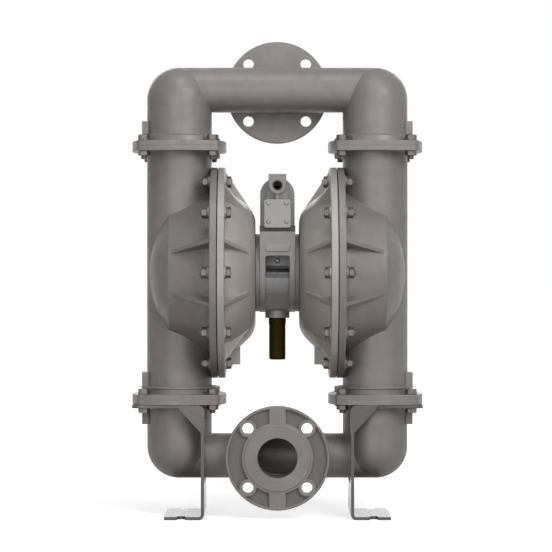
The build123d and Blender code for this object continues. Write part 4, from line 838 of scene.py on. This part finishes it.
class PUMP_OT_muffler(bpy.types.Operator):
    """Replace the muffler with a turned one that has a collar, a vent and a rolled foot"""

    bl_idname = "pump.muffler"
    bl_label = "Muffler"

    def execute(self, context):
        low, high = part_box("muffler")
        radius = MUFFLER_RADIUS
        shoulder = high.z - NECK_LENGTH
        vent = shoulder - VENT_DROP
        foot = (
            (-radius, 0.0),
            (-0.0030, 0.0),
            (-0.0012, 0.0004),
            (-0.0002, 0.0016),
            (0.0, 0.0030),
            (0.0, 0.0036),
            (-0.0005, 0.0041),
            (-0.0005, 0.0046),
            (0.0, 0.0051),
        )
        collar = ((0.0, -0.0125), (0.0003, -0.0115), (0.0007, -0.0108), (0.0007, -0.0008), (0.0001, 0.0))
        profile = [
            *[(radius + wider, low.z + above) for wider, above in foot],
            *[(radius, vent + step * VENT_RADIUS / 4) for step in range(-6, 7)],
            *[(radius + wider, shoulder + above) for wider, above in collar],
            (MUFFLER_NECK, shoulder),
            (MUFFLER_NECK, high.z),
            (0.0, high.z),
        ]
        body = lathe(profile, 192)[None]
        aside = np.hypot(body[..., 0], body[..., 2] - vent)
        reach = np.hypot(body[..., 0], body[..., 1])
        hole = (aside < VENT_RADIUS) & (body[..., 1] < 0) & (reach > 0.9 * MUFFLER_RADIUS)
        sunk = np.clip((VENT_RADIUS - aside) / 0.0005, 0, 1)
        body[..., 1] += np.where(hole, VENT_DEPTH * sunk, 0)
        piece = surface_piece("exhaust_muffler", [body], "Muffler Skin", smooth_angle=0.5)
        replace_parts(piece, "muffler")
        return {"FINISHED"}


class PUMP_OT_stage(bpy.types.Operator):
    """Set up the floor, backdrop light, lamps and camera"""

    bl_idname = "pump.stage"
    bl_label = "Studio"

    def execute(self, context):
        stage = settings()[2]
        scene = context.scene
        scene.view_settings.view_transform = "Standard"
        floor_mesh = bpy.data.meshes.new("floor")
        corners = [(-12, -12, 0), (12, -12, 0), (12, 30, 0), (-12, 30, 0)]
        floor_mesh.from_pydata(corners, [], [(0, 1, 2, 3)])
        floor = bpy.data.objects.new("floor", floor_mesh)
        scene.collection.objects.link(floor)
        floor_mesh.materials.append(floor_material())
        scene.world = studio_world()
        area_lamp("key", turn=28, rise=25, power=stage.key)
        area_lamp("top", turn=0, rise=65, power=stage.top)
        area_lamp("front", turn=-14, rise=6, power=stage.front)
        area_lamp("back_right", turn=163, rise=20, power=stage.back)
        area_lamp("back_left", turn=-163, rise=20, power=stage.back)
        camera_data = bpy.data.cameras.new("camera")
        camera_data.sensor_width = 36.0
        camera_data.lens = stage.lens
        camera_data.shift_x = stage.shift
        camera_data.clip_end = 50.0
        camera = bpy.data.objects.new("camera", camera_data)
        camera.location = (stage.camera_x, -stage.distance, stage.camera_z)
        camera.rotation_euler = (np.pi / 2, 0, 0)
        scene.collection.objects.link(camera)
        scene.camera = camera
        return {"FINISHED"}


def area_lamp(name, turn, rise, power):
    """Square lamp on a sphere round the pump, turn degrees right of the front and rise degrees up."""
    data = bpy.data.lights.new(name, "AREA")
    data.energy = power
    data.size = LAMP_SIZE
    lamp = bpy.data.objects.new(name, data)
    turn, rise = np.radians([turn, rise])
    way = Vector((np.sin(turn) * np.cos(rise), -np.cos(turn) * np.cos(rise), np.sin(rise)))
    lamp.location = Vector((0, 0, SHAFT_Z)) + LAMP_DISTANCE * way
    lamp.rotation_euler = (-way).to_track_quat("-Z", "Y").to_euler()
    bpy.context.scene.collection.objects.link(lamp)


def seen_directly(nodes):
    """1 for what the camera, a reflection or a refraction sees, 0 for light that only falls on things."""
    path = nodes.add("ShaderNodeLightPath").outputs
    glossy = nodes.math("MAXIMUM", path["Is Camera Ray"], path["Is Glossy Ray"])
    return nodes.math("MAXIMUM", glossy, path["Is Transmission Ray"])


def floor_material():
    """Floor that looks white, keeps a pale shadow near the pump, and sends a little warm light back up."""
    material = bpy.data.materials.new("Studio Floor")
    material.use_nodes = True
    material.node_tree.nodes.clear()
    nodes = Nodes(material.node_tree)
    seen = seen_directly(nodes)
    tone = nodes.mix(seen, (0.20, 0.165, 0.145, 1), (0.90, 0.90, 0.90, 1))
    matte = nodes.add("ShaderNodeBsdfDiffuse", {"Color": tone})
    place = nodes.add("ShaderNodeTexCoord").outputs["Object"]
    strength = nodes.math("MULTIPLY", seen, nodes.span(nodes.length(place), 0.6, 2.0, 0.60, 1.0))
    lift = nodes.add("ShaderNodeEmission", {"Color": (1, 1, 1, 1), "Strength": strength})
    both = nodes.add("ShaderNodeAddShader", {0: matte.outputs[0], 1: lift.outputs[0]})
    nodes.add("ShaderNodeOutputMaterial", {0: both.outputs[0]})
    return material


def studio_world():
    """White surround for the eye, and for the light a dim dome that is a little brighter above."""
    world = bpy.data.worlds.new("Studio")
    world.use_nodes = True
    world.node_tree.nodes.clear()
    nodes = Nodes(world.node_tree)
    direction = nodes.add("ShaderNodeTexCoord").outputs["Generated"]
    up = nodes.add("ShaderNodeSeparateXYZ", {0: direction}).outputs["Z"]
    dome = nodes.mix(nodes.span(up, -0.35, 0.8), (0.035, 0.028, 0.024, 1), (0.085, 0.085, 0.085, 1))
    seen = nodes.mix(seen_directly(nodes), dome, (1, 1, 1, 1))
    light = nodes.add("ShaderNodeBackground", {"Color": seen, "Strength": 1.0})
    nodes.add("ShaderNodeOutputWorld", {0: light.outputs[0]})
    return world


class PUMP_PT_panel(bpy.types.Panel):
    """Panel that lists the pump's operators"""

    bl_label = "Diaphragm Pump"
    bl_idname = "PUMP_PT_panel"
    bl_space_type = "VIEW_3D"
    bl_region_type = "UI"
    bl_category = "Pump"

    def draw(self, context):
        for operator in OPERATORS:
            self.layout.operator(operator.bl_idname)


OPERATORS = (
    PUMP_OT_stage,
    PUMP_OT_castings,
    PUMP_OT_diaphragms,
    PUMP_OT_disc_hardware,
    PUMP_OT_joint_hardware,
    PUMP_OT_screws,
    PUMP_OT_muffler,
)
GROUPS = {"pump_finish": PumpFinish, "pump_hardware": PumpHardware, "pump_stage": PumpStage}


def register():
    """Register the property groups, operators and panel."""
    for name, group in GROUPS.items():
        bpy.utils.register_class(group)
        setattr(bpy.types.Scene, name, PointerProperty(type=group))
    for item in (*OPERATORS, PUMP_PT_panel):
        bpy.utils.register_class(item)


def unregister():
    """Remove what register added."""
    for item in (PUMP_PT_panel, *reversed(OPERATORS)):
        bpy.utils.unregister_class(item)
    for name, group in GROUPS.items():
        delattr(bpy.types.Scene, name)
        bpy.utils.unregister_class(group)


def main():
    """Dress the pump and set the stage."""
    register()
    bpy.ops.pump.stage()
    bpy.ops.pump.castings()
    bpy.ops.pump.diaphragms()
    bpy.ops.pump.disc_hardware()
    bpy.ops.pump.joint_hardware()
    bpy.ops.pump.screws()
    bpy.ops.pump.muffler()


if __name__ == "__main__":
    main()
